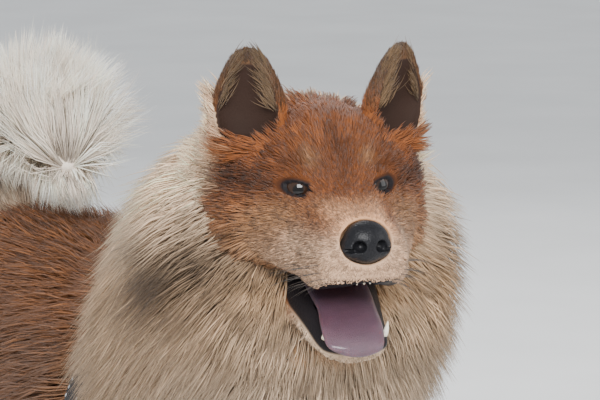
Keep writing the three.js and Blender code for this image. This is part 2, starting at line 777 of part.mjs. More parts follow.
// Harness
const band = largest(shellBetween(BAND.proud, BAND.proud + BAND.thick, BAND.width).subtract(ruff));
const bandRoom = shellBetween(0, BAND.proud + BAND.thick + GAP, BAND.width + 2 * GAP);
const harnessRoom = join([bandRoom, bucklePlate(GAP)]);
node("harness_band", band, "webbing");
node("harness_buckle", buckle(bandRoom), "webbing");

// Legs
const legSolids = [];
[-1, 1].forEach((side) => {
  const name = side < 0 ? "right" : "left";
  for (const [place, stations, knee] of [
    ["fore", FORELEG, KNEES.fore],
    ["hind", HINDLEG, KNEES.hind],
  ]) {
    const form = legForm(stations, side);
    const core = toSolid(form.geometry()).subtract(torsoRoom);
    const backwards = (root, normal, section) => section.along.clone();
    const rows =
      place === "fore"
        ? [
            { u: 0.4, from: 20, to: 160, count: 3 },
            { u: 0.52, from: 30, to: 150, count: 2 },
            { u: 0.64, from: 30, to: 150, count: 2, length: 40 },
          ]
        : [
            { u: 0.2, from: 20, to: 160, count: 4, length: 76, width: 44 },
            { u: 0.3, from: 15, to: 165, count: 4, length: 70, width: 42 },
            { u: 0.4, from: 20, to: 160, count: 3, length: 62, width: 40 },
            { u: 0.5, from: 40, to: 140, count: 2 },
          ];
    const feathers = locksOn(form, rows, {
      seed: place === "fore" ? 31 : 43,
      lie: backwards,
      neighbours: [torsoRoom, harnessRoom],
      length: 52,
      width: 30,
      thick: 8,
      lift: 24,
      droop: 2,
      sink: 7,
    });
    const whole = join([core, ...feathers]).subtract(harnessRoom);
    const upper = largest(cutAway(whole, vec(0, 0, knee), down));
    const below = cutAway(cutAway(core, vec(0, 0, knee), vec(0, 0, 1)), vec(0, 0, CUT_ABOVE_PAW), down);
    const lower = largest(below.subtract(upper));
    const foot = stations[stations.length - 1].at;
    node(place + "_upper_" + name, upper, "redCoat");
    node(place + "_lower_" + name, lower, "paleCoat");
    node(place + "_paw_" + name, paw(side, foot), "paleCoat");
    legSolids.push(upper, lower);
  }
});

// Torso
const TORSO_ROWS = [
  { u: 0.07, from: 200, to: 340, count: 5, length: 56, lie: down },
  { u: 0.16, from: 225, to: 315, count: 3, length: 64 },
  { u: 0.3, from: -80, to: 260, count: 8 },
  { u: 0.42, from: -95, to: 265, count: 10 },
  { u: 0.54, from: -95, to: 265, count: 10 },
  { u: 0.66, from: -95, to: 265, count: 9 },
  { u: 0.78, from: -95, to: 265, count: 8 },
  { u: 0.9, from: -60, to: 240, count: 7 },
];
const torsoLocks = locksOn(torsoForm, TORSO_ROWS, {
  seed: 3,
  lie: (root, normal, section) => section.along.clone().addScaledVector(down, 0.55),
  neighbours: [ruff, tail, harnessRoom, ...legSolids],
  length: 78,
  width: 56,
  thick: 11,
  lift: 24,
  droop: 4,
  sink: 10,
});
const torso = largest(
  cutAway(join([torsoCore, ...torsoLocks]), TORSO_CUT.point, TORSO_CUT.normal.clone().negate()),
);
node("torso", torso, "redCoat");

export default dog;
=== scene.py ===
"""A standing chow-type spitz dog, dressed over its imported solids.

The solids give the outside of the coat. Here a smooth skin lies inside them, and the coat grows on
the skin as thin tapered tufts that follow the lie of the hair. Shapes are worked out in millimetres
of the design, with the head in a frame of its own, and turn into metres when a mesh is made. In the
head frame x points to the dog's left, y backwards and z up, from between the eyes.
"""

from __future__ import annotations

import json
import logging
import math
from dataclasses import dataclass, field
from enum import Enum, IntEnum
from typing import Callable, Sequence

import bpy
import numpy as np
from mathutils import Matrix, Vector
from mathutils.kdtree import KDTree

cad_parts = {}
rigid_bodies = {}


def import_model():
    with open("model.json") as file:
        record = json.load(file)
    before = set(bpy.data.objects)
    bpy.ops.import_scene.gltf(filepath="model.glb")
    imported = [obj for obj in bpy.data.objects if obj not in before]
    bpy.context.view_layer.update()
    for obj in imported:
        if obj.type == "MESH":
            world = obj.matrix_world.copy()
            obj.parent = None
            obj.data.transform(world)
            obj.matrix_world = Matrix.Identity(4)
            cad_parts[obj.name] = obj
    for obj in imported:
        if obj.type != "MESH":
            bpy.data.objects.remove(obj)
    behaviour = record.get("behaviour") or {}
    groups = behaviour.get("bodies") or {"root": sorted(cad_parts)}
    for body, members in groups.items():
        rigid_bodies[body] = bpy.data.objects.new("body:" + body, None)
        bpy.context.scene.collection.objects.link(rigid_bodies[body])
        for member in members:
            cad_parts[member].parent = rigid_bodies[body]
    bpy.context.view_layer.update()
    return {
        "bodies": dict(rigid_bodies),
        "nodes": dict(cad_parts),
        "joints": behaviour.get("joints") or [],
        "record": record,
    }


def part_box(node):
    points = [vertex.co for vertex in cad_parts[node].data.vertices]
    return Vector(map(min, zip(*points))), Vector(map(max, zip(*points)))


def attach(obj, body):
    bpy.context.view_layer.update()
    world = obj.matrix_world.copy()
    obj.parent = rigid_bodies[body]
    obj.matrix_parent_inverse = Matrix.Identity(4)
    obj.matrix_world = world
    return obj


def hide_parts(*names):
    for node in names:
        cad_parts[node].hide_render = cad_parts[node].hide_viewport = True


log = logging.getLogger("dog")

Array = np.ndarray
Surface = tuple[Array, Sequence[Sequence[int]]]

MM = 0.001
SEED = 11

# Driving dimensions, in millimetres and degrees
EYES = np.array([-22.0, -370.0, 655.0])
HEAD_TURN = 9.0
# The skin under the hair is painted darker than the coat: painted shade under the coat.
SKIN_PAINTED_SHADE = 0.85


class Slot(str, Enum):
    """Material slots of the record."""

    RED = "red_coat"
    PALE = "pale_coat"
    DARK_SKIN = "dark_skin"
    TONGUE = "tongue_skin"
    EYE = "eye"
    WEBBING = "webbing"


class Side(IntEnum):
    """The dog's own sides, as the sign of x."""

    RIGHT = -1
    LEFT = 1

    @property
    def word(self) -> str:
        """The side as names have it."""
        return self.name.lower()


class Limb(str, Enum):
    """The two kinds of leg."""

    FORE = "fore"
    HIND = "hind"


class Tone:
    """Linear colours of the coat and skin."""

    RED = np.array([0.215, 0.069, 0.021])
    DARK_RED = np.array([0.105, 0.034, 0.011])
    # Dark brown of the streaks and rings round the eyes, also used as painted shade at the head's side edge.
    STRIPE_AND_SHADE = np.array([0.055, 0.019, 0.008])
    TAN = np.array([0.380, 0.205, 0.098])
    BRIDGE = np.array([0.620, 0.330, 0.175])
    MUZZLE = np.array([0.560, 0.355, 0.225])
    GOLD = np.array([0.500, 0.310, 0.165])
    CREAM = np.array([0.950, 0.700, 0.480])
    WHITE = np.array([0.970, 0.840, 0.700])
    CHARCOAL = np.array([0.045, 0.027, 0.017])
    SILVER = np.array([0.520, 0.380, 0.260])
    FLANK = np.array([0.210, 0.096, 0.046])
    BACK = np.array([0.280, 0.112, 0.044])
    SHOULDER = np.array([0.450, 0.265, 0.140])
    EAR_BASE = np.array([0.150, 0.058, 0.022])
    EAR = np.array([0.055, 0.028, 0.014])
    EAR_INSIDE = np.array([0.026, 0.014, 0.010])
    LIP = np.array([0.010, 0.008, 0.009])
    GUM = np.array([0.030, 0.014, 0.018])
    EYE_WHITE = np.array([0.030, 0.020, 0.016])
    IRIS = np.array([0.024, 0.0115, 0.0065])
    PUPIL = np.array([0.003, 0.0025, 0.0025])
    TONGUE_ROOT = np.array([0.055, 0.030, 0.048])
    TONGUE = np.array([0.078, 0.038, 0.058])
    TONGUE_GROOVE = np.array([0.045, 0.022, 0.036])


def blend(low: Array, high: Array, share: Array) -> Array:
    """Mixes two colours, or two lists of colours, by a share for each point."""
    return low + (high - low) * np.asarray(share)[..., None]


def smooth(value: Array, low: float, high: float) -> Array:
    """A smooth step from 0 at low to 1 at high."""
    t = np.clip((np.asarray(value, float) - low) / (high - low), 0, 1)
    return t * t * (3 - 2 * t)


def unit(vectors: Array) -> Array:
    """The vectors at length 1."""
    return vectors / np.maximum(np.linalg.norm(vectors, axis=-1, keepdims=True), 1e-9)


def bump(points: Array, centre: Sequence[float], radii: Sequence[float]) -> Array:
    """A soft spot: 1 at the centre, falling to nearly 0 at the radii."""
    away = (points - np.asarray(centre, float)) / np.asarray(radii, float)
    return np.exp(-1.6 * (away**2).sum(-1))


def signed_power(value: Array, exponent: Array) -> Array:
    """A power that keeps the sign."""
    return np.sign(value) * np.abs(value) ** exponent


def spin(angle: float) -> Array:
    """A turn about the vertical, in radians."""
    c, s = math.cos(angle), math.sin(angle)
    return np.array([[c, -s, 0.0], [s, c, 0.0], [0.0, 0.0, 1.0]])




class Space:
    """Turns head and design millimetres into metres of the frame."""

    shift = np.zeros(3)
    head_axes = spin(-math.radians(HEAD_TURN))

    @classmethod
    def fit(cls) -> None:
        """Finds the design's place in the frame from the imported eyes."""
        middles = [np.add(*map(np.array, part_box(f"eye_{side.word}"))) / 2 for side in (Side.LEFT, Side.RIGHT)]
        designed = [cls.from_head(Eye(side).centre) for side in (Side.LEFT, Side.RIGHT)]
        cls.shift = np.mean(middles, 0) - np.mean(designed, 0) * MM
        log.info("design shift %s", np.round(cls.shift / MM, 2))

    @classmethod
    def from_head(cls, points: Array) -> Array:
        """Head frame (x left, y back, z up, from between the eyes) to the design."""
        return np.asarray(points, float) @ cls.head_axes.T + EYES

    @classmethod
    def to_head(cls, points: Array) -> Array:
        """The design to the head frame."""
        return (points - EYES) @ cls.head_axes

    @classmethod
    def metres(cls, points: Array) -> Array:
        """Design millimetres to metres of the frame."""
        return np.asarray(points, float) * MM + cls.shift

    @classmethod
    def millimetres(cls, points: Array) -> Array:
        """Metres of the frame to design millimetres."""
        return (np.asarray(points, float) - cls.shift) / MM




def catmull_rom(rows: Array, places: Array) -> Array:
    """Values on the smooth line through evenly spaced rows, at places from 0 to 1."""
    last = len(rows) - 1
    x = np.clip(places, 0, 1) * last
    i = np.minimum(x.astype(int), last - 1)
    t = (x - i)[:, None]
    padded = np.vstack([2 * rows[0] - rows[1], rows, 2 * rows[-1] - rows[-2]])
    a, b, c, d = (padded[i + k] for k in range(4))
    return b + 0.5 * t * ((c - a) + t * ((2 * a - 5 * b + 4 * c - d) + t * (3 * (b - c) + d - a)))


@dataclass(frozen=True)
class Station:
    """One section of a rounded form, in millimetres.

    wide is the half width, up and down the reach above and below the line, the powers how square
    the section is there, and coat how far the skin lies inside the solid's surface.
    """

    at: tuple[float, float, float]
    wide: float
    up: float
    down: float | None = None
    up_power: float = 2.0
    down_power: float = 2.0
    coat: float = 0.0


class Form:
    """A rounded skin form that follows a line through its stations."""

    SAMPLES = 201

    def __init__(
        self, stations: Sequence[Station], ends: tuple[float, float] = (0.1, 0.1),
        facing: Sequence[float] | None = None, across: Sequence[float] = (1.0, 0.0, 0.0),
        patch: tuple[float, float, float, float] = (0.0, 0.0, 1.0, 1.0),
    ) -> None:
        """Sets the form up.

        Args:
            stations: its sections, in order.
            ends: how much of each end is rounded off.
            facing: one direction that every section faces, or None to follow the line.
            across: the direction of the width.
            patch: its rectangle on the unwrap, as left, bottom, width and height.
        """
        rows = np.array([self._row(s) for s in stations])
        self.places = np.linspace(0, 1, self.SAMPLES)
        table = catmull_rom(rows, self.places)
        self.centre = table[:, :3]
        self.size = table[:, 3:]
        line = np.gradient(self.centre, axis=0) if facing is None else np.tile(facing, (self.SAMPLES, 1))
        self.along = unit(np.asarray(line, float))
        across = np.asarray(across, float)
        self.side = unit(across - self.along * (self.along @ across)[:, None])
        self.up = np.cross(self.side, self.along)
        self.ends = ends
        self.patch = patch

    @staticmethod
    def _row(s: Station) -> list[float]:
        """A section's place and sizes as numbers, without the coat."""
        down = s.up if s.down is None else s.down
        return [*s.at, s.wide - s.coat, s.up - s.coat, down - s.coat, s.up_power, s.down_power]

    def _at(self, u: Array, columns: Array) -> Array:
        """Columns of the table at shares of the length."""
        return np.stack([np.interp(u, self.places, column) for column in columns.T], -1)

    def _round(self, u: Array) -> Array:
        """How much of its size a section keeps near the rounded ends."""
        first, last = self.ends
        near = np.minimum(u / first if first else 1.0, (1 - u) / last if last else 1.0)
        return np.sqrt(np.clip(1 - (1 - np.clip(near, 0, 1)) ** 2, 0, 1))

    def point(self, u: Array, angle: Array) -> Array:
        """Points of the surface.

        Args:
            u: shares of the length, from 0 to 1.
            angle: angles round it, in radians from the side's direction.

        Returns:
            The points, as many as u and angle give together.
        """
        u, angle = np.broadcast_arrays(np.asarray(u, float), np.asarray(angle, float))
        wide, high, deep, up_power, down_power = np.moveaxis(self._at(u, self.size), -1, 0)
        above = np.sin(angle) >= 0
        exponent = 2 / np.where(above, up_power, down_power)
        end = self._round(u)
        x = wide * end * signed_power(np.cos(angle), exponent)
        z = np.where(above, high, deep) * end * signed_power(np.sin(angle), exponent)
        return (
            self._at(u, self.centre)
            + self._at(u, self.side) * x[..., None]
            + self._at(u, self.up) * z[..., None]
        )

    def outline(self, rings: int, sides: int) -> Surface:
        """The form's surface.

        Args:
            rings: steps along it, closer near the ends.
            sides: points round it.

        Returns:
            Its points and faces.
        """
        t = np.arange(1, rings) / rings
        u = 0.5 * t + 0.25 * (1 - np.cos(np.pi * t))
        angle = np.arange(sides) / sides * 2 * np.pi
        grid = self.point(u[:, None], angle[None, :]).reshape(-1, 3)
        points = np.vstack([self.centre[:1], grid, self.centre[-1:]])
        return points, tube_faces(rings - 1, sides)

    def locate(self, points: Array) -> tuple[Array, Array, Array]:
        """Where points lie against the form.

        Args:
            points: places in the design.

        Returns:
            The share of the length, the angle, and the depth: under 1 inside, over 1 outside.
        """
        u, angle, depth = [], [], []
        for part in np.array_split(points, max(1, len(points) // 4000)):
            away = part[:, None, :] - self.centre[None, :, :]
            cost = np.abs((away * self.along[None]).sum(-1)) + 0.15 * np.linalg.norm(away, axis=-1)
            best = cost.argmin(1)
            near = away[np.arange(len(part)), best]
            x = (near * self.side[best]).sum(-1)
            z = (near * self.up[best]).sum(-1)
            wide, high, deep, up_power, down_power = self.size[best].T
            end = np.maximum(self._round(self.places[best]), 0.02)
            power = np.where(z >= 0, up_power, down_power)
            reach = np.where(z >= 0, high, deep) * end
            value = (np.abs(x / (wide * end)) ** power + np.abs(z / reach) ** power) ** (1 / power)
            beyond = np.abs((near * self.along[best]).sum(-1)) > 12
            u.append(self.places[best])
            angle.append(np.arctan2(z / reach, x / (wide * end)))
            depth.append(np.where(beyond, 9.0, value))
        return np.concatenate(u), np.concatenate(angle), np.concatenate(depth)

    def unwrap(self, u: Array, angle: Array) -> Array:
        """Places on the unwrap."""
        left, bottom, width, height = self.patch
        round_share = (angle / (2 * np.pi)) % 1.0
        across, along = (0.02 + 0.96 * share for share in (round_share, u))
        return np.stack([left + width * across, bottom + height * along], -1)

    def scatter(self, count: int, rng: np.random.Generator, keep: Callable[[Array], Array]) -> "Roots":
        """Random roots, evenly over the surface.

        Args:
            count: how many.
            rng: the seeded draws.
            keep: a density from 0 to 1 for each place.

        Returns:
            The roots, with their outward normals.
        """
        tries = count * 6
        u = rng.uniform(0.01, 0.99, tries)
        angle = rng.uniform(0, 2 * np.pi, tries)
        step = 0.004
        place = self.point(u, angle)
        lengthwise = self.point(np.clip(u + step, 0, 1), angle) - self.point(np.clip(u - step, 0, 1), angle)
        around = self.point(u, angle + step) - self.point(u, angle - step)
        normal = np.cross(lengthwise, around)
        weight = np.linalg.norm(normal, axis=1) * keep(place)
        live = int((weight > 0).sum())
        pick = rng.choice(tries, min(count, live), replace=False, p=weight / weight.sum())
        along = self._at(u[pick], self.along)
        return Roots(place[pick], unit(normal[pick]), unit(along), self.unwrap(u[pick], angle[pick]))


@dataclass
class Roots:
    """Places where tufts grow: point, outward normal, direction of the form's line, unwrap place."""

    place: Array
    normal: Array
    along: Array
    uv: Array

    def __len__(self) -> int:
        """The number of roots."""
        return len(self.place)

    def chosen(self, keep: Array) -> "Roots":
        """The roots that are kept."""
        return Roots(self.place[keep], self.normal[keep], self.along[keep], self.uv[keep])


def tube_faces(rings: int, sides: int) -> list[tuple[int, ...]]:
    """Faces of a closed tube: a pole, the rings and a last pole."""
    last = 1 + rings * sides
    faces: list[tuple[int, ...]] = []
    for i in range(sides):
        j = (i + 1) % sides
        faces.append((0, 1 + i, 1 + j))
        faces.append((last, last - sides + j, last - sides + i))
        for ring in range(rings - 1):
            a, b = 1 + ring * sides, 1 + (ring + 1) * sides
            faces.append((a + i, b + i, b + j, a + j))
    return faces


# Blender objects


def prism_faces(count: int) -> list[tuple[int, ...]]:
    """Faces of a block between two outlines of count points, the second after the first."""
    walls = [(i, (i + 1) % count, count + (i + 1) % count, count + i) for i in range(count)]
    return walls + [tuple(range(count - 1, -1, -1)), tuple(range(count, 2 * count))]


def new_object(name: str, points: Array, faces: Sequence[Sequence[int]]) -> bpy.types.Object:
    """A linked mesh object at the origin, from design millimetres."""
    mesh = bpy.data.meshes.new(name)
    mesh.from_pydata(Space.metres(points).tolist(), [], [list(face) for face in faces])
    mesh.validate()
    mesh.update()
    made = bpy.data.objects.new(name, mesh)
    bpy.context.scene.collection.objects.link(made)
    return made


def joined(pieces: Sequence[Surface]) -> Surface:
    """Several surfaces as one list of points and one of faces."""
    points, faces, start = [], [], 0
    for own_points, own_faces in pieces:
        points.append(own_points)
        faces.extend([tuple(i + start for i in face) for face in own_faces])
        start += len(own_points)
    return np.vstack(points), faces


def join_meshes(name: str, pieces: Sequence[Surface]) -> bpy.types.Object:
    """One object from several surfaces, in design millimetres."""
    return new_object(name, *joined(pieces))


def fuse(target: bpy.types.Object, other: bpy.types.Object) -> None:
    """Joins another object's mesh into the target, as it is."""
    surfaces = [(mesh_points(obj), [p.vertices for p in obj.data.polygons]) for obj in (target, other)]
    points, faces = joined(surfaces)
    mesh = bpy.data.meshes.new(target.name)
    mesh.from_pydata(Space.metres(points).tolist(), [], faces)
    target.data = mesh
    bpy.data.objects.remove(other)


def ball(
    centre: Sequence[float], radii: Sequence[float], across: int = 32, high: int = 20,
    turn: Array | None = None,
) -> Surface:
    """An ellipsoid as points and faces.

    Args:
        centre: its middle.
        radii: its three half sizes.
        across: points round it.
        high: bands from pole to pole.
        turn: a turn about its middle, or None.

    Returns:
        The closed surface.
    """
    lift = np.pi * np.arange(1, high) / high
    angle = 2 * np.pi * np.arange(across) / across
    rings = [
        [(math.sin(a) * math.cos(b), math.sin(a) * math.sin(b), math.cos(a)) for b in angle] for a in lift
    ]
    points = np.vstack([[(0, 0, 1)], np.array(rings).reshape(-1, 3), [(0, 0, -1)]]) * np.asarray(radii, float)
    if turn is not None:
        points = points @ turn.T
    return points + np.asarray(centre, float), tube_faces(high - 1, across)


def spike(
    root: Sequence[float], tip: Sequence[float], radius: float, bend: Sequence[float] = (0, 0, 0),
    sides: int = 10, rings: int = 8,
) -> Surface:
    """A pointed cone.

    Args:
        root: the middle of its foot.
        tip: its point.
        radius: its radius at the foot.
        bend: how far its middle is moved aside.
        sides: points round it.
        rings: rings along it.

    Returns:
        The closed surface.
    """
    root, tip, bend = (np.asarray(v, float) for v in (root, tip, bend))
    along = unit(tip - root)
    aside = unit(np.cross(along, (0.3, 0.9, 0.2)))
    across = np.cross(along, aside)
    angle = 2 * np.pi * np.arange(sides) / sides
    circle = np.cos(angle)[:, None] * aside + np.sin(angle)[:, None] * across
    lines = []
    for t in np.arange(rings) / rings:
        middle = root + (tip - root) * t + bend * 4 * t * (1 - t)
        lines.append(middle + radius * (1 - t) ** 0.7 * circle)
    points = np.vstack([[root - along * 0.5], *lines, [tip]])
    return points, tube_faces(rings, sides)


def in_head(piece: Surface) -> Surface:
    """A surface made in the head frame, moved to the design."""
    points, faces = piece
    return Space.from_head(points), faces


def keep_result(obj: bpy.types.Object, modifier: bpy.types.Modifier) -> None:
    """Keeps a modifier's result as the object's mesh, and removes the modifier."""
    shown = obj.evaluated_get(bpy.context.evaluated_depsgraph_get())
    mesh = bpy.data.meshes.new_from_object(shown)
    obj.modifiers.remove(modifier)
    old = obj.data
    obj.data = mesh
    bpy.data.meshes.remove(old)


def apply_modifier(obj: bpy.types.Object, kind: str, **values: object) -> None:
    """Shapes an object by a modifier with these settings."""
    modifier = obj.modifiers.new(kind.lower(), kind)
    for name, value in values.items():
        setattr(modifier, name, value)
    keep_result(obj, modifier)


def apply_nodes(obj: bpy.types.Object, tree: bpy.types.NodeTree, values: dict[str, object]) -> None:
    """Shapes an object by a tree of geometry nodes, with values for its named inputs."""
    modifier = obj.modifiers.new(tree.name, "NODES")
    modifier.node_group = tree
    for item in tree.interface.items_tree:
        if item.in_out == "INPUT" and item.name in values:
            modifier[item.identifier] = values[item.name]
    keep_result(obj, modifier)


def remesh(obj: bpy.types.Object, voxel: float, rounds: int) -> None:
    """Fuses an object's surfaces into one skin of even faces and smooths it."""
    apply_modifier(obj, "REMESH", mode="VOXEL", voxel_size=voxel * MM, use_smooth_shade=True)
    apply_modifier(obj, "SMOOTH", factor=0.5, iterations=rounds)


def carve(obj: bpy.types.Object, cutter: Surface) -> None:
    """Cuts a closed surface out of an object."""
    tool = new_object("cutter", *cutter)
    apply_modifier(obj, "BOOLEAN", operation="DIFFERENCE", solver="MANIFOLD", object=tool)
    bpy.data.objects.remove(tool)


def mesh_points(obj: bpy.types.Object) -> Array:
    """An object's vertices, in design millimetres."""
    flat = np.empty(len(obj.data.vertices) * 3)
    obj.data.vertices.foreach_get("co", flat)
    return Space.millimetres(flat.reshape(-1, 3))


def paint(obj: bpy.types.Object, colour: Array, name: str = "Coat") -> None:
    """Stores a colour for each vertex."""
    attribute = obj.data.attributes.new(name, "FLOAT_COLOR", "POINT")
    rgba = np.hstack([np.clip(colour, 0, 1), np.ones((len(colour), 1))])
    attribute.data.foreach_set("color", rgba.astype(np.float32).ravel())


def place(obj: bpy.types.Object, material: bpy.types.Material, slot: Slot, *nodes: str) -> None:
    """Finishes a piece and reports it.

    Args:
        obj: the piece.
        material: its finish.
        slot: its material slot in the record; not used.
        nodes: the solids that it stands for.
    """
    obj.data.materials.clear()
    obj.data.materials.append(material)
    obj.data.polygons.foreach_set("use_smooth", [True] * len(obj.data.polygons))
    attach(obj, "root")
    if nodes:
        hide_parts(*nodes)
    log.info("%s: %d faces, %s", obj.name, len(obj.data.polygons), material.name)


# Finishes


class Shader:
    """Builds one material step by step."""

    def __init__(self, name: str) -> None:
        """Starts a material of this name."""
        self.material = bpy.data.materials.new(name)
        self.material.use_nodes = True
        self.tree = self.material.node_tree
        self.body = self.tree.nodes["Principled BSDF"]

    def node(self, kind: str, **values: object) -> bpy.types.Node:
        """Adds a node.

        Args:
            kind: the node's type.
            values: input values by socket name, or properties by name.

        Returns:
            The node.
        """
        made = self.tree.nodes.new(kind)
        for name, value in values.items():
            if name in made.inputs:
                made.inputs[name].default_value = value
            else:
                setattr(made, name, value)
        return made

    def link(self, output: bpy.types.NodeSocket, target: bpy.types.NodeSocket) -> None:
        """Joins two sockets."""
        self.tree.links.new(output, target)

    def stored(self, name: str) -> bpy.types.Node:
        """Reads an attribute that is stored on the mesh."""
        return self.node("ShaderNodeAttribute", attribute_name=name)

    def texture(self, grain: "Grain") -> bpy.types.NodeSocket:
        """A texture that lies in the object's own space."""
        where = self.node("ShaderNodeTexCoord")
        made = self.node(grain.node, Scale=grain.scale, **grain.settings)
        self.link(where.outputs["Object"], made.inputs["Vector"])
        return made.outputs[grain.output]

    def ramp(self, source: bpy.types.NodeSocket, grain: "Grain") -> bpy.types.NodeSocket:
        """Turns a texture's values into its grain's colours."""
        made = self.node("ShaderNodeValToRGB")
        for element, (where, colour) in zip(made.color_ramp.elements, (grain.low, grain.high)):
            element.position = where
            element.color = (*colour, 1.0)
        self.link(source, made.inputs["Fac"])
        return made.outputs["Color"]

    def darken(self, grain: "Grain", share: float) -> None:
        """Multiplies the painted colour by a grain, by a share."""
        mix = self.node("ShaderNodeMix", data_type="RGBA", blend_type="MULTIPLY")
        mix.inputs["Factor"].default_value = share
        self.link(self.stored("Coat").outputs["Color"], mix.inputs["A"])
        self.link(self.ramp(self.texture(grain), grain), mix.inputs["B"])
        self.link(mix.outputs["Result"], self.body.inputs["Base Color"])

    def relief(self, source: bpy.types.NodeSocket, strength: float, distance: float) -> None:
        """Adds a bump from a height."""
        made = self.node("ShaderNodeBump", Strength=strength, Distance=distance)
        self.link(source, made.inputs["Height"])
        self.link(made.outputs["Normal"], self.body.inputs["Normal"])


def grey(value: float) -> tuple[float, float, float]:
    """A grey as a colour."""
    return (value, value, value)


@dataclass(frozen=True)
class Grain:
    """A texture's node, scale and settings, and the stops of place and colour it runs between."""

    scale: float
    low: tuple[float, tuple[float, float, float]] = (0.3, grey(0.72))
    high: tuple[float, tuple[float, float, float]] = (0.7, grey(1.0))
    node: str = "ShaderNodeTexNoise"
    output: str = "Fac"
    settings: dict[str, object] = field(default_factory=dict)


@dataclass(frozen=True)
class Finish:
    """A surface finish: values of the main shader's sockets, a grain and a relief of that grain.

    relief is the bump's strength and distance in metres, or None for a flat surface.
    """

    name: str
    values: dict[str, float]
    grain: Grain | None = None
    relief: tuple[float, float] | None = None

    def make(self) -> bpy.types.Material:
        """Builds the material."""
        shader = Shader(self.name)
        for name, value in self.values.items():
            shader.body.inputs[name].default_value = value
        self.colour(shader)
        return shader.material

    def colour(self, shader: Shader) -> None:
        """Colours the surface by its grain, which also raises it."""
        source = shader.texture(self.grain)
        shader.link(shader.ramp(source, self.grain), shader.body.inputs["Base Color"])
        if self.relief:
            shader.relief(source, *self.relief)


@dataclass(frozen=True)
class PaintedFinish(Finish):
    """A finish over the mesh's own colours: the grain darkens them by a share, or only raises them."""

    share: float = 0.0
    raised: Grain | None = None
    wet: tuple[float, float] | None = None

    def colour(self, shader: Shader) -> None:
        """Takes the painted colour, and where wet is set, the painted wetness as roughness."""
        if self.share:
            shader.darken(self.grain, self.share)
        else:
            shader.link(shader.stored("Coat").outputs["Color"], shader.body.inputs["Base Color"])
        if self.wet:
            rough = shader.node("ShaderNodeMapRange")
            rough.inputs["To Min"].default_value, rough.inputs["To Max"].default_value = self.wet
            shader.link(shader.stored("Wet").outputs["Fac"], rough.inputs["Value"])
            shader.link(rough.outputs["Result"], shader.body.inputs["Roughness"])
        if self.relief:
            shader.relief(shader.texture(self.raised or self.grain), *self.relief)


HAIR = PaintedFinish(
    "hair",
    {"Roughness": 0.62, "Specular IOR Level": 0.14, "Sheen Weight": 0.06, "Sheen Roughness": 0.4},
    Grain(900.0, settings={"Detail": 2.0}), share=0.55,
)
SKIN = PaintedFinish(
    "skin",
    {"Roughness": 0.6, "Specular IOR Level": 0.1},
    Grain(700.0, settings={"Detail": 3.0}), relief=(0.5, 0.0008), wet=(0.7, 0.36),
)
NOSE_LEATHER = Finish(
    "nose_leather",
    {"Roughness": 0.38, "Specular IOR Level": 0.14, "Coat Weight": 0.06, "Coat Roughness": 0.22},
    Grain(
        900.0,
        (0.0, (0.012, 0.012, 0.014)),
        (0.8, (0.005, 0.005, 0.006)),
        node="ShaderNodeTexVoronoi", output="Distance", settings={"feature": "SMOOTH_F1"},
    ),
    relief=(0.55, 0.0006),
)
TONGUE_FLESH = PaintedFinish(
    "tongue_flesh",
    {
        "Roughness": 0.38, "Specular IOR Level": 0.5, "Subsurface Weight": 0.1, "Coat Weight": 0.5,
        "Coat Roughness": 0.18,
    },
    Grain(120.0, (0.3, grey(0.7)), (0.7, grey(1.1)), settings={"Detail": 4.0}), relief=(0.7, 0.0006),
    share=0.7, raised=Grain(1400.0, node="ShaderNodeTexVoronoi", output="Distance"),
)
EYE_SURFACE = PaintedFinish(
    "eye_surface",
    {"Roughness": 0.08, "Specular IOR Level": 0.05, "Coat Weight": 0.6, "Coat Roughness": 0.02},
)
CLAW_HORN = Finish(
    "claw_horn",
    {"Roughness": 0.42, "Specular IOR Level": 0.5},
    Grain(500.0, (0.3, (0.020, 0.015, 0.012)), (0.7, (0.060, 0.045, 0.035)), settings={"Detail": 2.0}),
)
TOOTH_ENAMEL = Finish(
    "tooth_enamel",
    {"Roughness": 0.25, "Specular IOR Level": 0.5},
    Grain(150.0, (0.35, (0.66, 0.55, 0.38)), (0.65, (0.82, 0.77, 0.66)), settings={"Detail": 2.0}),
)
BLACK_WEBBING = Finish(
    "black_webbing",
    {"Roughness": 0.78, "Specular IOR Level": 0.3, "Sheen Weight": 0.04},
    Grain(
        420.0,
        (0.2, (0.008, 0.008, 0.010)),
        (0.8, (0.030, 0.030, 0.034)),
        node="ShaderNodeTexWave", settings={"Distortion": 1.2, "bands_direction": "DIAGONAL"},
    ),
    relief=(0.6, 0.0008),
)
BUCKLE_PLASTIC = Finish(
    "buckle_plastic",
    {"Roughness": 0.4},
    Grain(300.0, (0.3, (0.016, 0.016, 0.0176)), (0.7, (0.02, 0.02, 0.022)), settings={"Detail": 3.0}),
    relief=(0.15, 0.0003),
)
PALE_THREAD = Finish(
    "pale_thread",
    {"Roughness": 0.7},
    Grain(300.0, (0.3, (0.44, 0.44, 0.448)), (0.7, (0.55, 0.55, 0.56)), settings={"Detail": 3.0}),
    relief=(0.15, 0.0003),
)
PALE_FLOOR = Finish(
    "floor_pale",
    {"Roughness": 0.9},
    Grain(3.0, (0.3, (0.70, 0.70, 0.69)), (0.7, (0.76, 0.76, 0.75)), settings={"Detail": 3.0}),
)


# Markings


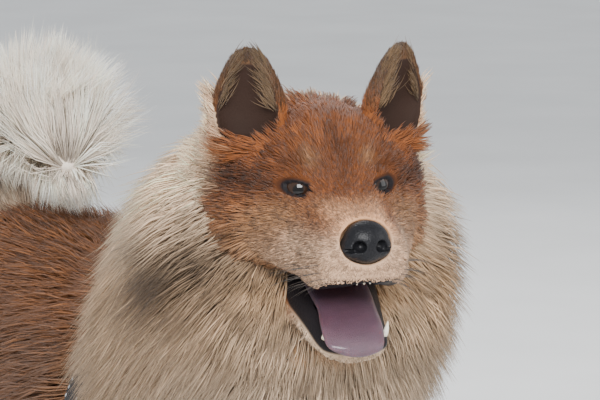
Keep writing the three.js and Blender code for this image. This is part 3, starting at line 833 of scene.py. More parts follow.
class Markings:
    """Colours of the coat and skin by place."""

    @staticmethod
    def head(points: Array) -> Array:
        """Colours in the head frame: x left, y back, z up."""
        x, forward, z = np.abs(points[:, 0]), -points[:, 1], points[:, 2]
        mirrored = np.stack([x, points[:, 1], z], -1)
        colour = np.tile(Tone.RED, (len(points), 1))
        colour = blend(colour, Tone.TAN, 0.8 * smooth(-z, 12, 55) * smooth(-forward, 0, 40))
        colour = blend(colour, Tone.TAN, 0.95 * bump(mirrored, (36, 4, -22), (28, 34, 17)))
        colour = blend(colour, Tone.TAN, 0.9 * bump(mirrored, (50, 10, -42), (30, 36, 22)))
        colour = blend(colour, Tone.MUZZLE, 0.8 * bump(mirrored, (42, -8, -46), (22, 30, 17)))
        colour = blend(colour, Tone.BRIDGE, smooth(-z, 0, 14) * smooth(forward, 2, 14) * smooth(-x, -28, -14))
        colour = blend(colour, Tone.MUZZLE, smooth(forward, 4, 26) * smooth(-z, 14, 34))
        colour = blend(colour, Tone.DARK_RED, 0.9 * bump(mirrored, (0, -2, 22), (10, 40, 34)))
        colour = blend(colour, Tone.DARK_RED, 0.85 * bump(mirrored, (30, 0, 15), (24, 24, 11)))
        colour = blend(colour, Tone.TAN, 0.5 * bump(mirrored, (19, -2, 18), (7, 20, 7)))
        # A dark streak runs from the eye's outer corner back to the ear; its outer part, out at the head's side
        # edge, is painted shade.
        for share in np.linspace(0, 1, 7):
            spot = (44 + 36 * share, 6 + 38 * share, 2 + 4 * share)
            colour = blend(colour, Tone.STRIPE_AND_SHADE, 0.62 * bump(mirrored, spot, (12, 20, 10)))
        colour = blend(colour, Tone.STRIPE_AND_SHADE, 0.75 * bump(mirrored, (14, -6, -5), (8, 14, 8)))
        colour = blend(colour, Tone.SILVER * 1.2, 0.85 * smooth(-z, 78, 96))
        ragged = 7 * np.sin(0.9 * x + 0.31 * forward) * np.sin(0.83 * z + 0.47 * forward)
        crown = smooth(z, 8, 42) * smooth(-x, -66, -50)
        behind = smooth(ragged - forward - 34 * crown, 30, 66)
        colour = blend(colour, Tone.GOLD, behind)
        return blend(colour, Tone.CREAM, behind * smooth(z, -60, 0))

    @staticmethod
    def ear(points: Array) -> Array:
        """Colours of an ear, in the head frame."""
        rise = smooth(points[:, 2], 34, 78)
        return blend(np.tile(Tone.EAR_BASE, (len(points), 1)), Tone.EAR * 1.5, rise)

    @staticmethod
    def ruff(points: Array) -> Array:
        """Colours of the ruff, in the design."""
        x, y, z = np.abs(points[:, 0]), points[:, 1], points[:, 2]
        mirrored = np.stack([x, y, z], -1)
        colour = np.tile(Tone.GOLD, (len(points), 1))
        colour = blend(colour, Tone.SILVER, smooth(-z, -610, -530) * smooth(-x, -125, -70))
        colour = blend(colour, Tone.SILVER * 0.55, smooth(-z, -530, -460) * smooth(-x, -95, -45))
        colour = blend(colour, Tone.CREAM, 0.95 * smooth(z, 585, 655))
        colour = blend(colour, Tone.CREAM, 0.4 * smooth(x, 60, 110) * smooth(z, 500, 600))
        colour = blend(colour, Tone.CHARCOAL, 0.9 * bump(mirrored, (86, -296, 604), (46, 52, 32)))
        colour = blend(colour, Tone.SHOULDER, 0.8 * smooth(y, -190, -120) * smooth(-z, -600, -520))
        return colour

    @staticmethod
    def torso(points: Array) -> Array:
        """Colours of the body, in the design."""
        y, z = points[:, 1], points[:, 2]
        colour = blend(np.tile(Tone.FLANK, (len(points), 1)), Tone.BACK, smooth(z, 470, 540))
        colour = blend(colour, Tone.SHOULDER, 0.9 * smooth(-y, 60, 130) * smooth(-z, -520, -440))
        colour = blend(colour, Tone.GOLD, 0.8 * smooth(-z, -370, -310))
        colour = blend(colour, Tone.CREAM, 0.7 * smooth(y, 230, 290))
        return blend(colour, Tone.SILVER, 0.8 * smooth(-y, 170, 210) * smooth(-z, -470, -400))

    @staticmethod
    def tail(points: Array) -> Array:
        """Colours of the tail, in the design."""
        low = smooth(-points[:, 2], -575, -520)
        return blend(np.tile(Tone.WHITE, (len(points), 1)), Tone.GOLD, 0.8 * low)

    @staticmethod
    def leg(points: Array, limb: Limb) -> Array:
        """Colours of a leg, in the design."""
        z = points[:, 2]
        hind = limb is Limb.HIND
        upper = Tone.FLANK * 1.25 if hind else Tone.SHOULDER
        colour = blend(np.tile(Tone.TAN * 1.15, (len(points), 1)), upper, smooth(z, 210, 330))
        if hind:
            colour = blend(colour, Tone.CREAM, 0.75 * smooth(points[:, 1], 215, 265) * smooth(z, 200, 260))
        return blend(colour, Tone.GOLD, 0.6 * smooth(-z, -90, -30))


# Coat


@dataclass
class Coat:
    """One region of tufts and how they lie.

    Lengths and widths are in millimetres and angles in degrees: a tuft leaves the skin at lift and
    ends at -droop. clump pulls the tips of neighbours together, and rings sets how finely it bends.
    """

    name: str
    roots: Roots
    lie: Array
    colour: Array
    length: Array
    width: float
    lift: Array | float
    droop: Array | float
    rings: int = 3
    clump: float = 0.45
    clump_size: int = 24
    wave: float = 0.05
    dark_tips: float = 0.0
    variety: float = 0.16
    slot: Slot = Slot.RED

    def keep(self, clear: Array) -> None:
        """Drops the tufts that aren't marked as clear."""
        self.roots = self.roots.chosen(clear)
        for name in ("lie", "colour", "length", "lift", "droop"):
            value = getattr(self, name)
            if isinstance(value, np.ndarray):
                setattr(self, name, value[clear])


@dataclass
class Grower:
    """Turns coats into meshes. Spreads are standard deviations, in degrees or as shares."""

    rng: np.random.Generator
    swing: float = 0.16
    lift_spread: float = 5.0
    droop_spread: float = 4.0
    lengths: tuple[float, float] = (0.72, 1.12)
    widths: tuple[float, float] = (0.7, 1.25)
    taper: dict = field(default_factory=lambda: {2: (0.9, 0.75), 3: (0.8, 1.0, 0.6)})
    thick: float = 0.35
    sink: float = 0.06
    deepest: float = 1.5
    ground: float = 0.5
    lock_spread: float = 0.14
    # Each tuft is painted darker at the root, as shade deep in the coat, and lighter at the tip, as painted
    # light.
    root_painted_shade: float = 0.9
    tip_painted_light: float = 1.12
    most_triangles: int = 190_000
    bake_patch: float = 0.003

    def paths(self, coat: Coat) -> tuple[Array, Array, Array]:
        """The tufts' centre lines.

        Args:
            coat: the region.

        Returns:
            Points and headings, each as (tufts, rings + 1, 3), and across directions.
        """
        count, rng, normal = len(coat.roots), self.rng, coat.roots.normal
        flat = unit(coat.lie - normal * (coat.lie * normal).sum(-1, keepdims=True))
        flat = unit(flat + np.cross(flat, normal) * rng.normal(0, self.swing, (count, 1)))
        across = np.cross(flat, normal)
        lift = np.radians(coat.lift + rng.normal(0, self.lift_spread, count))
        droop = np.radians(coat.droop + rng.normal(0, self.droop_spread, count))
        length = coat.length * rng.uniform(*self.lengths, count)
        points = [coat.roots.place - normal * np.minimum(length * self.sink, self.deepest)[:, None]]
        headings = []
        bend = rng.normal(0, coat.wave, count)
        for step in range(coat.rings + 1):
            share = step / coat.rings
            tilt = (lift - (lift + droop) * share)[:, None]
            side = 2.0 * (bend * np.sin(share * np.pi * 1.4 + 0.4))[:, None]
            headings.append(unit(flat * np.cos(tilt) + normal * np.sin(tilt) + across * side))
            if step < coat.rings:
                points.append(points[-1] + headings[-1] * (length / coat.rings)[:, None])
        return np.stack(points, 1), np.stack(headings, 1), across

    def gather(self, coat: Coat, path: Array) -> tuple[Array, Array]:
        """Pulls the tips of neighbouring tufts together into locks.

        Args:
            coat: the region.
            path: the tufts' points.

        Returns:
            The new points, and the number of each tuft's lock.
        """
        count = len(path)
        leaders = self.rng.choice(count, max(1, count // coat.clump_size), replace=False)
        tree = KDTree(len(leaders))
        for i, leader in enumerate(leaders):
            tree.insert(Vector(coat.roots.place[leader]), i)
        tree.balance()
        lock = np.array([tree.find(Vector(p))[1] for p in coat.roots.place])
        share = (np.arange(path.shape[1]) / (path.shape[1] - 1))[None, :, None] ** 1.6
        return path + (path[leaders[lock]] - path) * share * coat.clump, lock

    def colours(self, coat: Coat, lock: Array) -> tuple[Array, Array]:
        """Colours at the root and at the tip of each tuft, by tuft and by lock: darker at the root as painted
        shade deep in the coat, and lighter at the tip as painted light.
        """
        count = len(coat.roots)
        shade = 1 + self.rng.normal(0, coat.variety, (count, 1))
        locks = self.rng.normal(0, self.lock_spread, lock.max() + 1)
        colour = coat.colour * np.clip(shade * (1 + locks[lock])[:, None], 0.45, 1.6)
        root, tip = colour * self.root_painted_shade, colour * self.tip_painted_light
        if coat.dark_tips:
            chance = locks[lock] * 1.4 + self.rng.normal(0, 0.12, count)
            dark = smooth(chance, 0.32 - coat.dark_tips, 0.42 - coat.dark_tips)
            tip = blend(tip, np.tile(Tone.CHARCOAL, (count, 1)), 0.75 * dark)
        return root, tip

    def grow(self, coat: Coat) -> list[bpy.types.Object]:
        """Makes a coat's pieces.

        Args:
            coat: the region.

        Returns:
            Objects that each stay under the limit of triangles.
        """
        path, heading, across = self.paths(coat)
        path, lock = self.gather(coat, path)
        root, tip = self.colours(coat, lock)
        count, rings = len(path), coat.rings
        taper = np.array(self.taper[rings])[None, :, None]
        width = coat.width * self.rng.uniform(*self.widths, (count, 1, 1)) * taper
        centre = path[:, :rings]
        half = across[:, None, :] * width / 2
        ridge = np.cross(across[:, None, :], heading[:, :rings]) * width * self.thick
        ring = np.stack([centre + half, centre + ridge, centre - half], 2)
        points = np.concatenate([ring.reshape(count, rings * 3, 3), path[:, -1:, :]], 1)
        points[:, :, 2] = np.maximum(points[:, :, 2], self.ground)
        # The colour runs from the painted shade at the root to the painted light at the tip.
        share = np.concatenate([np.repeat(np.arange(rings) / rings, 3), [1.0]])
        colour = root[:, None] + (tip - root)[:, None] * share[None, :, None]
        spread = np.concatenate([np.tile([0.0, 0.5, 1.0], rings), [0.5]])
        uv = coat.roots.uv[:, None] + np.stack([spread, share], -1)[None] * self.bake_patch
        faces = self.faces(rings)
        triangles = sum(len(face) - 2 for face in faces)
        size = self.most_triangles // triangles
        made = []
        for start in range(0, count, size):
            part = slice(start, start + size)
            name = f"coat_{coat.name}_{len(made) + 1}"
            made.append(tuft_object(name, points[part], colour[part], uv[part], faces))
        log.info("%s: %d tufts, %d triangles", coat.name, count, count * triangles)
        return made

    @staticmethod
    def faces(rings: int) -> list[tuple[int, ...]]:
        """The faces of one tuft: a closed root, walls and a pointed tip."""
        faces: list[tuple[int, ...]] = [(0, 2, 1)]
        for ring in range(rings - 1):
            a, b = 3 * ring, 3 * ring + 3
            faces += [(a + i, a + (i + 1) % 3, b + (i + 1) % 3, b + i) for i in range(3)]
        last = 3 * (rings - 1)
        return faces + [(last + i, last + (i + 1) % 3, rings * 3) for i in range(3)]


def tuft_object(
    name: str, points: Array, colour: Array, uv: Array, faces: Sequence[tuple[int, ...]]
) -> bpy.types.Object:
    """Joins tufts into one mesh.

    Args:
        name: the piece's name.
        points: each tuft's points, in the design.
        colour: their colours.
        uv: their places on the unwrap.
        faces: the faces of one tuft.

    Returns:
        The piece, with its colours stored and its unwrap.
    """
    count, per, _ = points.shape
    corners = np.concatenate([np.array(face) for face in faces])
    loops = ((np.arange(count) * per)[:, None] + corners[None]).ravel()
    totals = np.tile([len(face) for face in faces], count)
    starts = np.concatenate([[0], np.cumsum(totals)[:-1]])
    mesh = bpy.data.meshes.new(name)
    mesh.vertices.add(count * per)
    mesh.vertices.foreach_set("co", Space.metres(points.reshape(-1, 3)).astype(np.float32).ravel())
    mesh.loops.add(len(loops))
    mesh.loops.foreach_set("vertex_index", loops.astype(np.int32))
    mesh.polygons.add(len(totals))
    mesh.polygons.foreach_set("loop_start", starts.astype(np.int32))
    mesh.polygons.foreach_set("use_smooth", np.ones(len(totals), bool))
    layer = mesh.uv_layers.new(name="OFBake")
    layer.uv.foreach_set("vector", uv.reshape(-1, 2)[loops].astype(np.float32).ravel())
    mesh.update(calc_edges=True)
    made = bpy.data.objects.new(name, mesh)
    bpy.context.scene.collection.objects.link(made)
    paint(made, colour.reshape(-1, 3))
    return made


def scatter_on_mesh(
    obj: bpy.types.Object, form: Form, count: int, rng: np.random.Generator, keep: Callable
) -> Roots:
    """Random roots over a mesh's faces.

    Args:
        obj: the mesh.
        form: the form whose unwrap the roots use.
        count: how many.
        rng: the seeded draws.
        keep: a density for each face's middle, in the head frame, with its normal.

    Returns:
        The roots, in the design.
    """
    mesh = obj.data
    mesh.calc_loop_triangles()
    flat = np.empty(len(mesh.loop_triangles) * 3, np.int32)
    mesh.loop_triangles.foreach_get("vertices", flat)
    triangles = flat.reshape(-1, 3)
    corner = mesh_points(obj)[triangles]
    cross = np.cross(corner[:, 1] - corner[:, 0], corner[:, 2] - corner[:, 0])
    area = np.linalg.norm(cross, axis=1)
    normals = np.empty(len(mesh.vertices) * 3)
    mesh.vertices.foreach_get("normal", normals)
    soft = unit(normals.reshape(-1, 3)[triangles].sum(1))
    weight = area * keep(Space.to_head(corner.mean(1)), soft @ Space.head_axes)
    pick = rng.choice(len(area), count, p=weight / weight.sum())
    a, b = rng.random((2, count, 1))
    over = a + b > 1
    a, b = np.where(over, 1 - a, a), np.where(over, 1 - b, b)
    tri = corner[pick]
    where = tri[:, 0] + (tri[:, 1] - tri[:, 0]) * a + (tri[:, 2] - tri[:, 0]) * b
    u, angle, _ = form.locate(Space.to_head(where))
    return Roots(where, soft[pick], np.tile([0.0, 1.0, 0.0], (count, 1)), form.unwrap(u, angle))


def outside(points: Array, forms: Sequence[Form], margin: float = 1.0) -> Array:
    """1 where points lie outside all forms, by a margin of their depth, else 0."""
    free = np.ones(len(points))
    for form in forms:
        free[form.locate(points)[2] < margin] = 0
    return free


# The head's parts


@dataclass(frozen=True)
class Eye:
    """One eye. almond is the half width of the lids' opening and its reach above and below."""

    side: Side
    spread: float = 31.0
    forward: float = 5.5
    radius: float = 11.0
    outward: float = 22.0
    upward: float = 0.06
    slant: float = 14.0
    almond: tuple[float, float, float] = (10.5, 5.4, 4.3)
    lid: float = 2.4
    sunk: float = 1.6
    iris: float = 8.7
    pupil: float = 3.8

    @property
    def look(self) -> Array:
        """The way the eye looks, in the head frame."""
        turn = math.radians(self.outward)
        return unit(np.array([self.side * math.sin(turn), -math.cos(turn), self.upward]))

    @property
    def centre(self) -> Array:
        """The middle of the eyeball, in the head frame."""
        return np.array([self.side * self.spread, -self.forward, 0.0]) - self.look * self.radius

    @property
    def axes(self) -> tuple[Array, Array]:
        """The almond's long and short axes, in the head frame."""
        slant = self.side * math.radians(self.slant)
        right = unit(np.cross(self.look, (0, 0, 1)))
        up = np.cross(right, self.look)
        return right * math.cos(slant) - up * math.sin(slant), right * math.sin(slant) + up * math.cos(slant)

    def level(self, at: Array) -> Array:
        """How far points are from the middle of the lids' opening.

        Args:
            at: points in the head frame.

        Returns:
            1 at the opening's edge, less inside it, and 99 behind the eye.
        """
        right, up = self.axes
        half, above, below = self.almond
        away = at - self.centre
        a, b = away @ right, away @ up
        level = np.hypot(a / half, b / np.where(b > 0, above, below))
        behind = (away @ self.look < 1) | (np.linalg.norm(away, axis=1) > self.radius + 7)
        return np.where(behind, 99.0, level)

    def socket(self) -> list[Surface]:
        """What is cut out of the skin: the eyeball's room and the almond between the lids."""
        right, up = self.axes
        half, above, below = self.almond
        share = np.linspace(-1, 1, 13)
        top = [(half * t, above * (1 - abs(t) ** 2.2)) for t in share]
        bottom = [(half * t, -below * (1 - abs(t) ** 2.0)) for t in share[-2:0:-1]]
        ring = np.array(top + bottom)
        flat = self.centre + ring[:, :1] * right + ring[:, 1:] * up
        faces = [tuple(reversed(face)) for face in prism_faces(len(ring))]
        opening = np.vstack([flat, flat + self.look * 40])
        return [ball(self.centre, (self.radius + 0.3,) * 3), (opening, faces)]

    def open_lids(self, skin: bpy.types.Object) -> None:
        """Sinks the skin into the eyeball inside the almond, so that the eyeball shows."""
        design = mesh_points(skin)
        inside = self.level(Space.to_head(design)) < 1.0
        centre = Space.from_head(self.centre)
        away = design[inside] - centre
        depth = np.linalg.norm(away, axis=1, keepdims=True)
        design[inside] = centre + away * np.minimum(1, (self.radius - self.sunk) / depth)
        skin.data.vertices.foreach_set("co", Space.metres(design).astype(np.float32).ravel())
        skin.data.update()

    def build(self, material: bpy.types.Material) -> None:
        """The eyeball, with a dark brown iris and a black pupil."""
        points, faces = in_head(ball(self.centre, (self.radius,) * 3, 64, 40))
        eye = new_object(f"eyeball_{self.side.word}", points, faces)
        away = Space.to_head(points) - self.centre
        ahead = away @ self.look
        aside = np.linalg.norm(away - ahead[:, None] * self.look, axis=1)
        front = ahead > 0
        colour = np.tile(Tone.EYE_WHITE, (len(points), 1))
        colour = blend(colour, Tone.IRIS, smooth(-aside, -self.iris - 0.5, -self.iris + 0.5) * front)
        colour = blend(colour, Tone.PUPIL, smooth(-aside, -self.pupil - 0.4, -self.pupil + 0.4) * front)
        paint(eye, colour)
        place(eye, material, Slot.EYE, f"eye_{self.side.word}")


@dataclass(frozen=True)
class Mouth:
    """The open mouth from the side, as points forward and up in the head frame."""

    corner: tuple[float, float] = (-26.0, -59.0)
    upper_lip: tuple = ((8.0, -60.0), (26.0, -63.0), (41.0, -65.0), (55.0, -60.0), (72.0, -55.0))
    lower_lip: tuple = ((90.0, -121.0), (50.0, -105.0), (33.0, -96.0), (23.0, -90.0), (-5.0, -77.0))
    half_width: float = 70.0
    middle_slope: float = 0.55
    middle_height: float = 72.0

    @property
    def outline(self) -> Array:
        """The mouth's outline, all the way round."""
        return np.array([self.corner, *self.upper_lip, *self.lower_lip])

    def prism(self) -> Surface:
        """The opening as a block across the head."""
        outline = self.outline
        points = [(x, -f, z) for x in (self.half_width, -self.half_width) for f, z in outline]
        return np.array(points), prism_faces(len(outline))

    def distance(self, at: Array) -> Array:
        """How far points of the head are from the outline, seen from the side.

        Args:
            at: points in the head frame.

        Returns:
            Millimetres, negative inside the mouth.
        """
        where = np.stack([-at[:, 1], at[:, 2]], -1)
        outline = self.outline
        nearest = np.full(len(where), np.inf)
        inside = np.zeros(len(where), bool)
        for a, b in zip(outline, np.roll(outline, -1, 0)):
            run = b - a
            share = np.clip(((where - a) @ run) / (run @ run), 0, 1)
            nearest = np.minimum(nearest, np.linalg.norm(where - a - share[:, None] * run, axis=1))
            crosses = (a[1] > where[:, 1]) != (b[1] > where[:, 1])
            slope = (b[0] - a[0]) * (where[:, 1] - a[1]) / (b[1] - a[1] + 1e-12) + a[0]
            inside ^= crosses & (where[:, 0] < slope)
        return np.where(inside, -nearest, nearest)

    def above_middle(self, at: Array) -> Array:
        """Whether points lie on the upper side of the opening."""
        return at[:, 2] > self.middle_slope * at[:, 1] - self.middle_height


@dataclass(frozen=True)
class Ear:
    """One ear. shell and cup give height over the base, half width and half depth, level by level."""

    side: Side
    base: tuple[float, float, float] = (52.0, 42.0, 43.0)
    tip_out: float = 8.0
    tip_back: float = 3.0
    facing: float = 28.0
    shell: tuple = ((-26, 25, 16), (0, 28.5, 16), (18, 26, 13.5), (36, 19, 9), (51, 10.5, 5))
    cup: tuple = ((-12, 16, 10.5), (4, 22, 12.5), (18, 20.5, 11), (32, 14.5, 7.5), (44, 7.5, 4))
    cup_forward: float = 11.0
    coat: float = 1.8

    @property
    def look(self) -> Array:
        """The way the cup opens, in the head frame."""
        turn = math.radians(self.facing)
        return np.array([self.side * math.sin(turn), -math.cos(turn), 0.0])

    @property
    def across(self) -> Array:
        """The direction of the ear's width, in the head frame."""
        turn = math.radians(self.facing)
        return np.array([math.cos(turn), self.side * math.sin(turn), 0.0])

    def form(self, levels: Sequence[tuple[float, float, float]], forward: float, coat: float) -> "Form":
        """The shell or the cup.

        Args:
            levels: its height, half width and half depth.
            forward: how far it is moved the way the cup opens.
            coat: how far it lies inside its levels.

        Returns:
            The form, in the head frame.
        """
        top = self.shell[-1][0]
        tip_out = self.tip_out if self.side is Side.LEFT else 0.0
        stations = []
        for height, wide, deep in levels:
            x = self.side * (self.base[0] + tip_out * height / top) + self.look[0] * forward
            y = self.base[1] + self.tip_back * height / top + self.look[1] * forward
            stations.append(Station((x, y, self.base[2] + height), wide, deep, coat=coat))
        return Form(stations, ends=(0.05, 0.16), facing=(0, 0, 1), across=self.across)

    def shell_form(self, deeper: float = 0.0) -> "Form":
        """The ear's outside, as far under its hair as its coat is deep."""
        return self.form(self.shell, 0.0, self.coat + deeper)

    def cup_form(self, grow: float = 0.0) -> "Form":
        """The hollow of the cup."""
        return self.form(self.cup, self.cup_forward, -grow)

    @classmethod
    def in_cup(cls, at: Array, grow: float) -> Array:
        """Whether points of the head lie in a cup, or within grow of it."""
        return np.any([cls(side).cup_form(grow).locate(at)[2] < 1.0 for side in Side], axis=0)

    def fringe_roots(self, count: int, rng: np.random.Generator) -> tuple[Array, Array, Array]:
        """Places, normals and lies of the hair along the rim, in the head frame.

        Args:
            count: how many hairs.
            rng: the seeded draws.

        Returns:
            Three lists of vectors. Most hairs stand on the inner rim and lean across the cup.
        """
        form = self.shell_form(1.0)
        u = rng.uniform(0.34, 0.8, count)
        inner = np.pi if self.side is Side.LEFT else 0.0
        angle = np.where(rng.random(count) < 0.72, inner, np.pi - inner) + rng.normal(0, 0.22, count)
        forward = rng.uniform(0.1, 0.55, count)
        places = form.point(u, angle + np.sign(np.cos(angle)) * forward)
        aside = -np.sign(np.cos(angle))[:, None] * self.across
        return places, np.tile(self.look, (count, 1)), aside * 0.7 + np.array([0.0, 0.0, 0.85])


@dataclass(frozen=True)
class Lump:
    """A rounded swelling on each side of the head, in the head frame, turned about the vertical."""

    at: tuple[float, float, float]
    radii: tuple[float, float, float]
    turn: float = 0.0

    def on(self, side: Side) -> Surface:
        """The swelling on one side."""
        x, y, z = self.at
        return ball((side * x, y, z), self.radii, turn=spin(side * self.turn))


@dataclass
class Head:
    """Skull, muzzle, jaw and ears: one skin, and the hair on it.

    sections run from the nose backwards and give the way forward, top, middle, bottom, half width,
    upper and lower power, and the coat's depth. jaw gives y, z, half width, up, down and coat.
    """

    sections: tuple = (
        (66, -17, -38, -56, 25, 2.0, 2.4, 0.5),
        (55, -11, -40, -62, 31, 2.0, 2.8, 0.5),
        (42, -7, -42, -66, 35, 1.9, 2.8, 0.5),
        (27, 1, -43, -65, 39, 1.7, 2.8, 0.8),
        (14, 11, -42, -64, 45, 1.6, 2.6, 1.5),
        (2, 27, -38, -66, 54, 1.7, 2.4, 3.5),
        (-12, 47, -30, -70, 64, 2.0, 2.2, 7.0),
        (-30, 61, -22, -78, 77, 2.2, 2.2, 12.0),
        (-55, 64, -15, -84, 83, 2.4, 2.2, 15.0),
        (-80, 57, -5, -70, 72, 2.2, 2.0, 14.0),
        (-104, 40, 5, -35, 50, 2.0, 2.0, 12.0),
    )
    jaw: tuple = (
        (62, -62, 42, 12, 20, 4),
        (24, -78, 38, 18, 22, 3),
        (-6, -91, 32, 17, 19, 2),
        (-30, -102, 27, 14, 14, 1),
        (-46, -107, 22, 12, 9, 1),
    )
    brow: Lump = Lump((29, 13, 14), (20, 13, 12), 0.35)
    lip_pad: Lump = Lump((24, -36, -51), (12.5, 21, 13.5), -0.12)
    front_pad: Lump = Lump((12.5, -50, -47), (13, 12, 10))
    palate: tuple = ((0, -20, -62), (24, 40, 17))
    nose_room: tuple = ((0, -62, -29), (18.5, 13.5, 15.5))
    tongue_room: tuple = ((0, -12, -82), (21, 44, 11))
    jaw_tilt: float = 30.0
    voxel: float = 1.5
    fine_voxel: float = 1.35
    hairs: int = 40_000
    ear_hairs: int = 7_500
    fringe_hairs: int = 900
    long_hair: float = 13.0
    cup_rim: float = 1.6
    mouth: Mouth = field(default_factory=Mouth)
    eyes: tuple[Eye, ...] = (Eye(Side.RIGHT), Eye(Side.LEFT))
    ears: tuple[Ear, ...] = (Ear(Side.RIGHT), Ear(Side.LEFT))
    skin: bpy.types.Object = field(init=False)

    @property
    def form(self) -> Form:
        """The skull's and muzzle's skin, in the head frame."""
        stations = [
            Station((0, -forward, middle), wide, top - middle, middle - bottom, up, down, coat)
            for forward, top, middle, bottom, wide, up, down, coat in self.sections
        ]
        return Form(stations, ends=(0.09, 0.12), facing=(0, 1, 0), patch=(0.0, 0.5, 0.5, 0.5))

    @property
    def jaw_form(self) -> Form:
        """The lower jaw's skin, in the head frame."""
        stations = [Station((0, y, z), wide, up, down, coat=coat) for y, z, wide, up, down, coat in self.jaw]
        return Form(stations, ends=(0.15, 0.14))

    def build(self, material: bpy.types.Material) -> None:
        """Makes the skin with its lids, lips, mouth and ear cups, and paints it."""
        self.skin = self.make_skull()
        fuse(self.skin, self.make_jaw())
        remesh(self.skin, self.fine_voxel, 2)
        for eye in self.eyes:
            eye.open_lids(self.skin)
        colour, wet = self.colours()
        paint(self.skin, colour)
        paint(self.skin, np.repeat(wet[:, None], 3, 1), "Wet")
        place(self.skin, material, Slot.RED, "head", "lower_jaw", "ear_left", "ear_right")

    def make_skull(self) -> bpy.types.Object:
        """Skull, muzzle and ears, with the rooms for eyes, nose and mouth cut out."""
        pieces = [self.form.outline(70, 96)]
        for side, eye, ear in zip(Side, self.eyes, self.ears):
            pieces.append(ball(eye.centre, (eye.radius + eye.lid,) * 3))
            pieces += [self.brow.on(side), self.lip_pad.on(side)]
            pieces += [ear.shell_form().outline(30, 40), self.front_pad.on(side)]
        skull = join_meshes("skin_head", [in_head(piece) for piece in pieces])
        remesh(skull, self.voxel, 3)
        rooms = []
        for eye, ear in zip(self.eyes, self.ears):
            rooms += [*eye.socket(), ear.cup_form().outline(20, 28)]
        rooms += [self.mouth.prism(), ball(*self.palate), ball(*self.nose_room)]
        for room in rooms:
            carve(skull, in_head(room))
        return skull

    def make_jaw(self) -> bpy.types.Object:
        """The lower jaw, hollow under the tongue."""
        jaw = join_meshes("skin_jaw", [in_head(self.jaw_form.outline(30, 48))])
        carve(jaw, in_head(self.mouth.prism()))
        tilt = math.radians(self.jaw_tilt)
        c, s = math.cos(tilt), math.sin(tilt)
        lean = np.array([[1, 0, 0], [0, c, s], [0, -s, c]])
        carve(jaw, in_head(ball(*self.tongue_room, turn=lean)))
        return jaw

    @staticmethod
    def on_ears(at: Array, low: float, inner: float, front: float) -> Array:
        """Whether points of the head lie above, outside and behind these limits, on the ears."""
        return (at[:, 2] > low) & (np.abs(at[:, 0]) > inner) & (at[:, 1] > front)

    def colours(self) -> tuple[Array, Array]:
        """Colour and wetness for each vertex of the skin."""
        at = Space.to_head(mesh_points(self.skin))
        # Painted shade: the skin under the hair is darker than the coat's colours.
        colour = Markings.head(at) * SKIN_PAINTED_SHADE
        wet = np.zeros(len(at))
        for eye in self.eyes:
            ear = (at[:, 0] * eye.side > 0) & self.on_ears(at, 50, 22, 15)
            colour[ear] = Markings.ear(at[ear])
            level = eye.level(at)
            colour = blend(colour, Tone.STRIPE_AND_SHADE * 0.8, smooth(-level, -1.75, -1.35))
            dark = smooth(-level, -1.32, -1.15)
            colour = blend(colour, Tone.LIP, dark)
            wet = np.maximum(wet, dark * 0.6)
        colour[Ear.in_cup(at, self.cup_rim)] = Tone.EAR_INSIDE
        gap = self.mouth.distance(at)
        upper = self.mouth.above_middle(at)
        near = (at[:, 1] < 34) & (at[:, 2] < -52)
        lip = smooth(-gap, -4.2, -2.6) * upper + smooth(-gap, -9.5, -6.5) * ~upper
        lip = lip * near
        colour = blend(colour, Tone.LIP, lip)
        inside = near & (np.abs(at[:, 0]) < 20) & (at[:, 1] > -46) & (gap < 14) & (at[:, 2] > -100)
        colour[inside] = Tone.GUM
        return colour, np.maximum(wet, np.maximum(lip, inside) * 0.9)

    def lie(self, at: Array) -> Array:
        """The lie of the hair over the face and skull, in the head frame."""
        x, forward, z = at[:, 0], -at[:, 1], at[:, 2]
        out = x / 55 * (0.6 + 0.6 * smooth(-forward, -10, 40))
        rise = (z + 12) / 70 - 0.9 * smooth(-z, 18, 48) * smooth(-forward, 0, 40)
        return np.stack([out, np.ones(len(at)), rise], -1)

    def density(self, at: Array, normal: Array) -> Array:
        """Where face and skull carry hair: not on lips, lids, nose, mouth or ears.

        Args:
            at: points in the head frame.
            normal: their outward directions.

        Returns:
            A density for each point, 0 where it stays bare.
        """
        keep = np.ones(len(at))
        gap = self.mouth.distance(at)
        near = (at[:, 1] < 34) & (at[:, 2] < -50)
        upper = self.mouth.above_middle(at)
        keep[near & upper & (gap < 1.6)] = 0
        keep[near & ~upper & (gap < 9.0)] = 0
        keep[np.linalg.norm((at - self.nose_room[0]) / (19.5, 15, 17), axis=1) < 1] = 0
        keep[near & (np.abs(at[:, 0]) < 22) & (normal[:, 2] > 0.2) & (at[:, 2] < -70)] = 0
        for eye in self.eyes:
            keep[eye.level(at) < 1.42] = 0
            keep[np.linalg.norm(at - eye.centre, axis=1) < eye.radius + 1] = 0
        keep[self.on_ears(at, 58, 24, 20) | Ear.in_cup(at, self.cup_rim)] = 0
        keep[at[:, 1] > 94] = 0
        return keep * (1 + 1.8 * smooth(-at[:, 1], -20, 30))

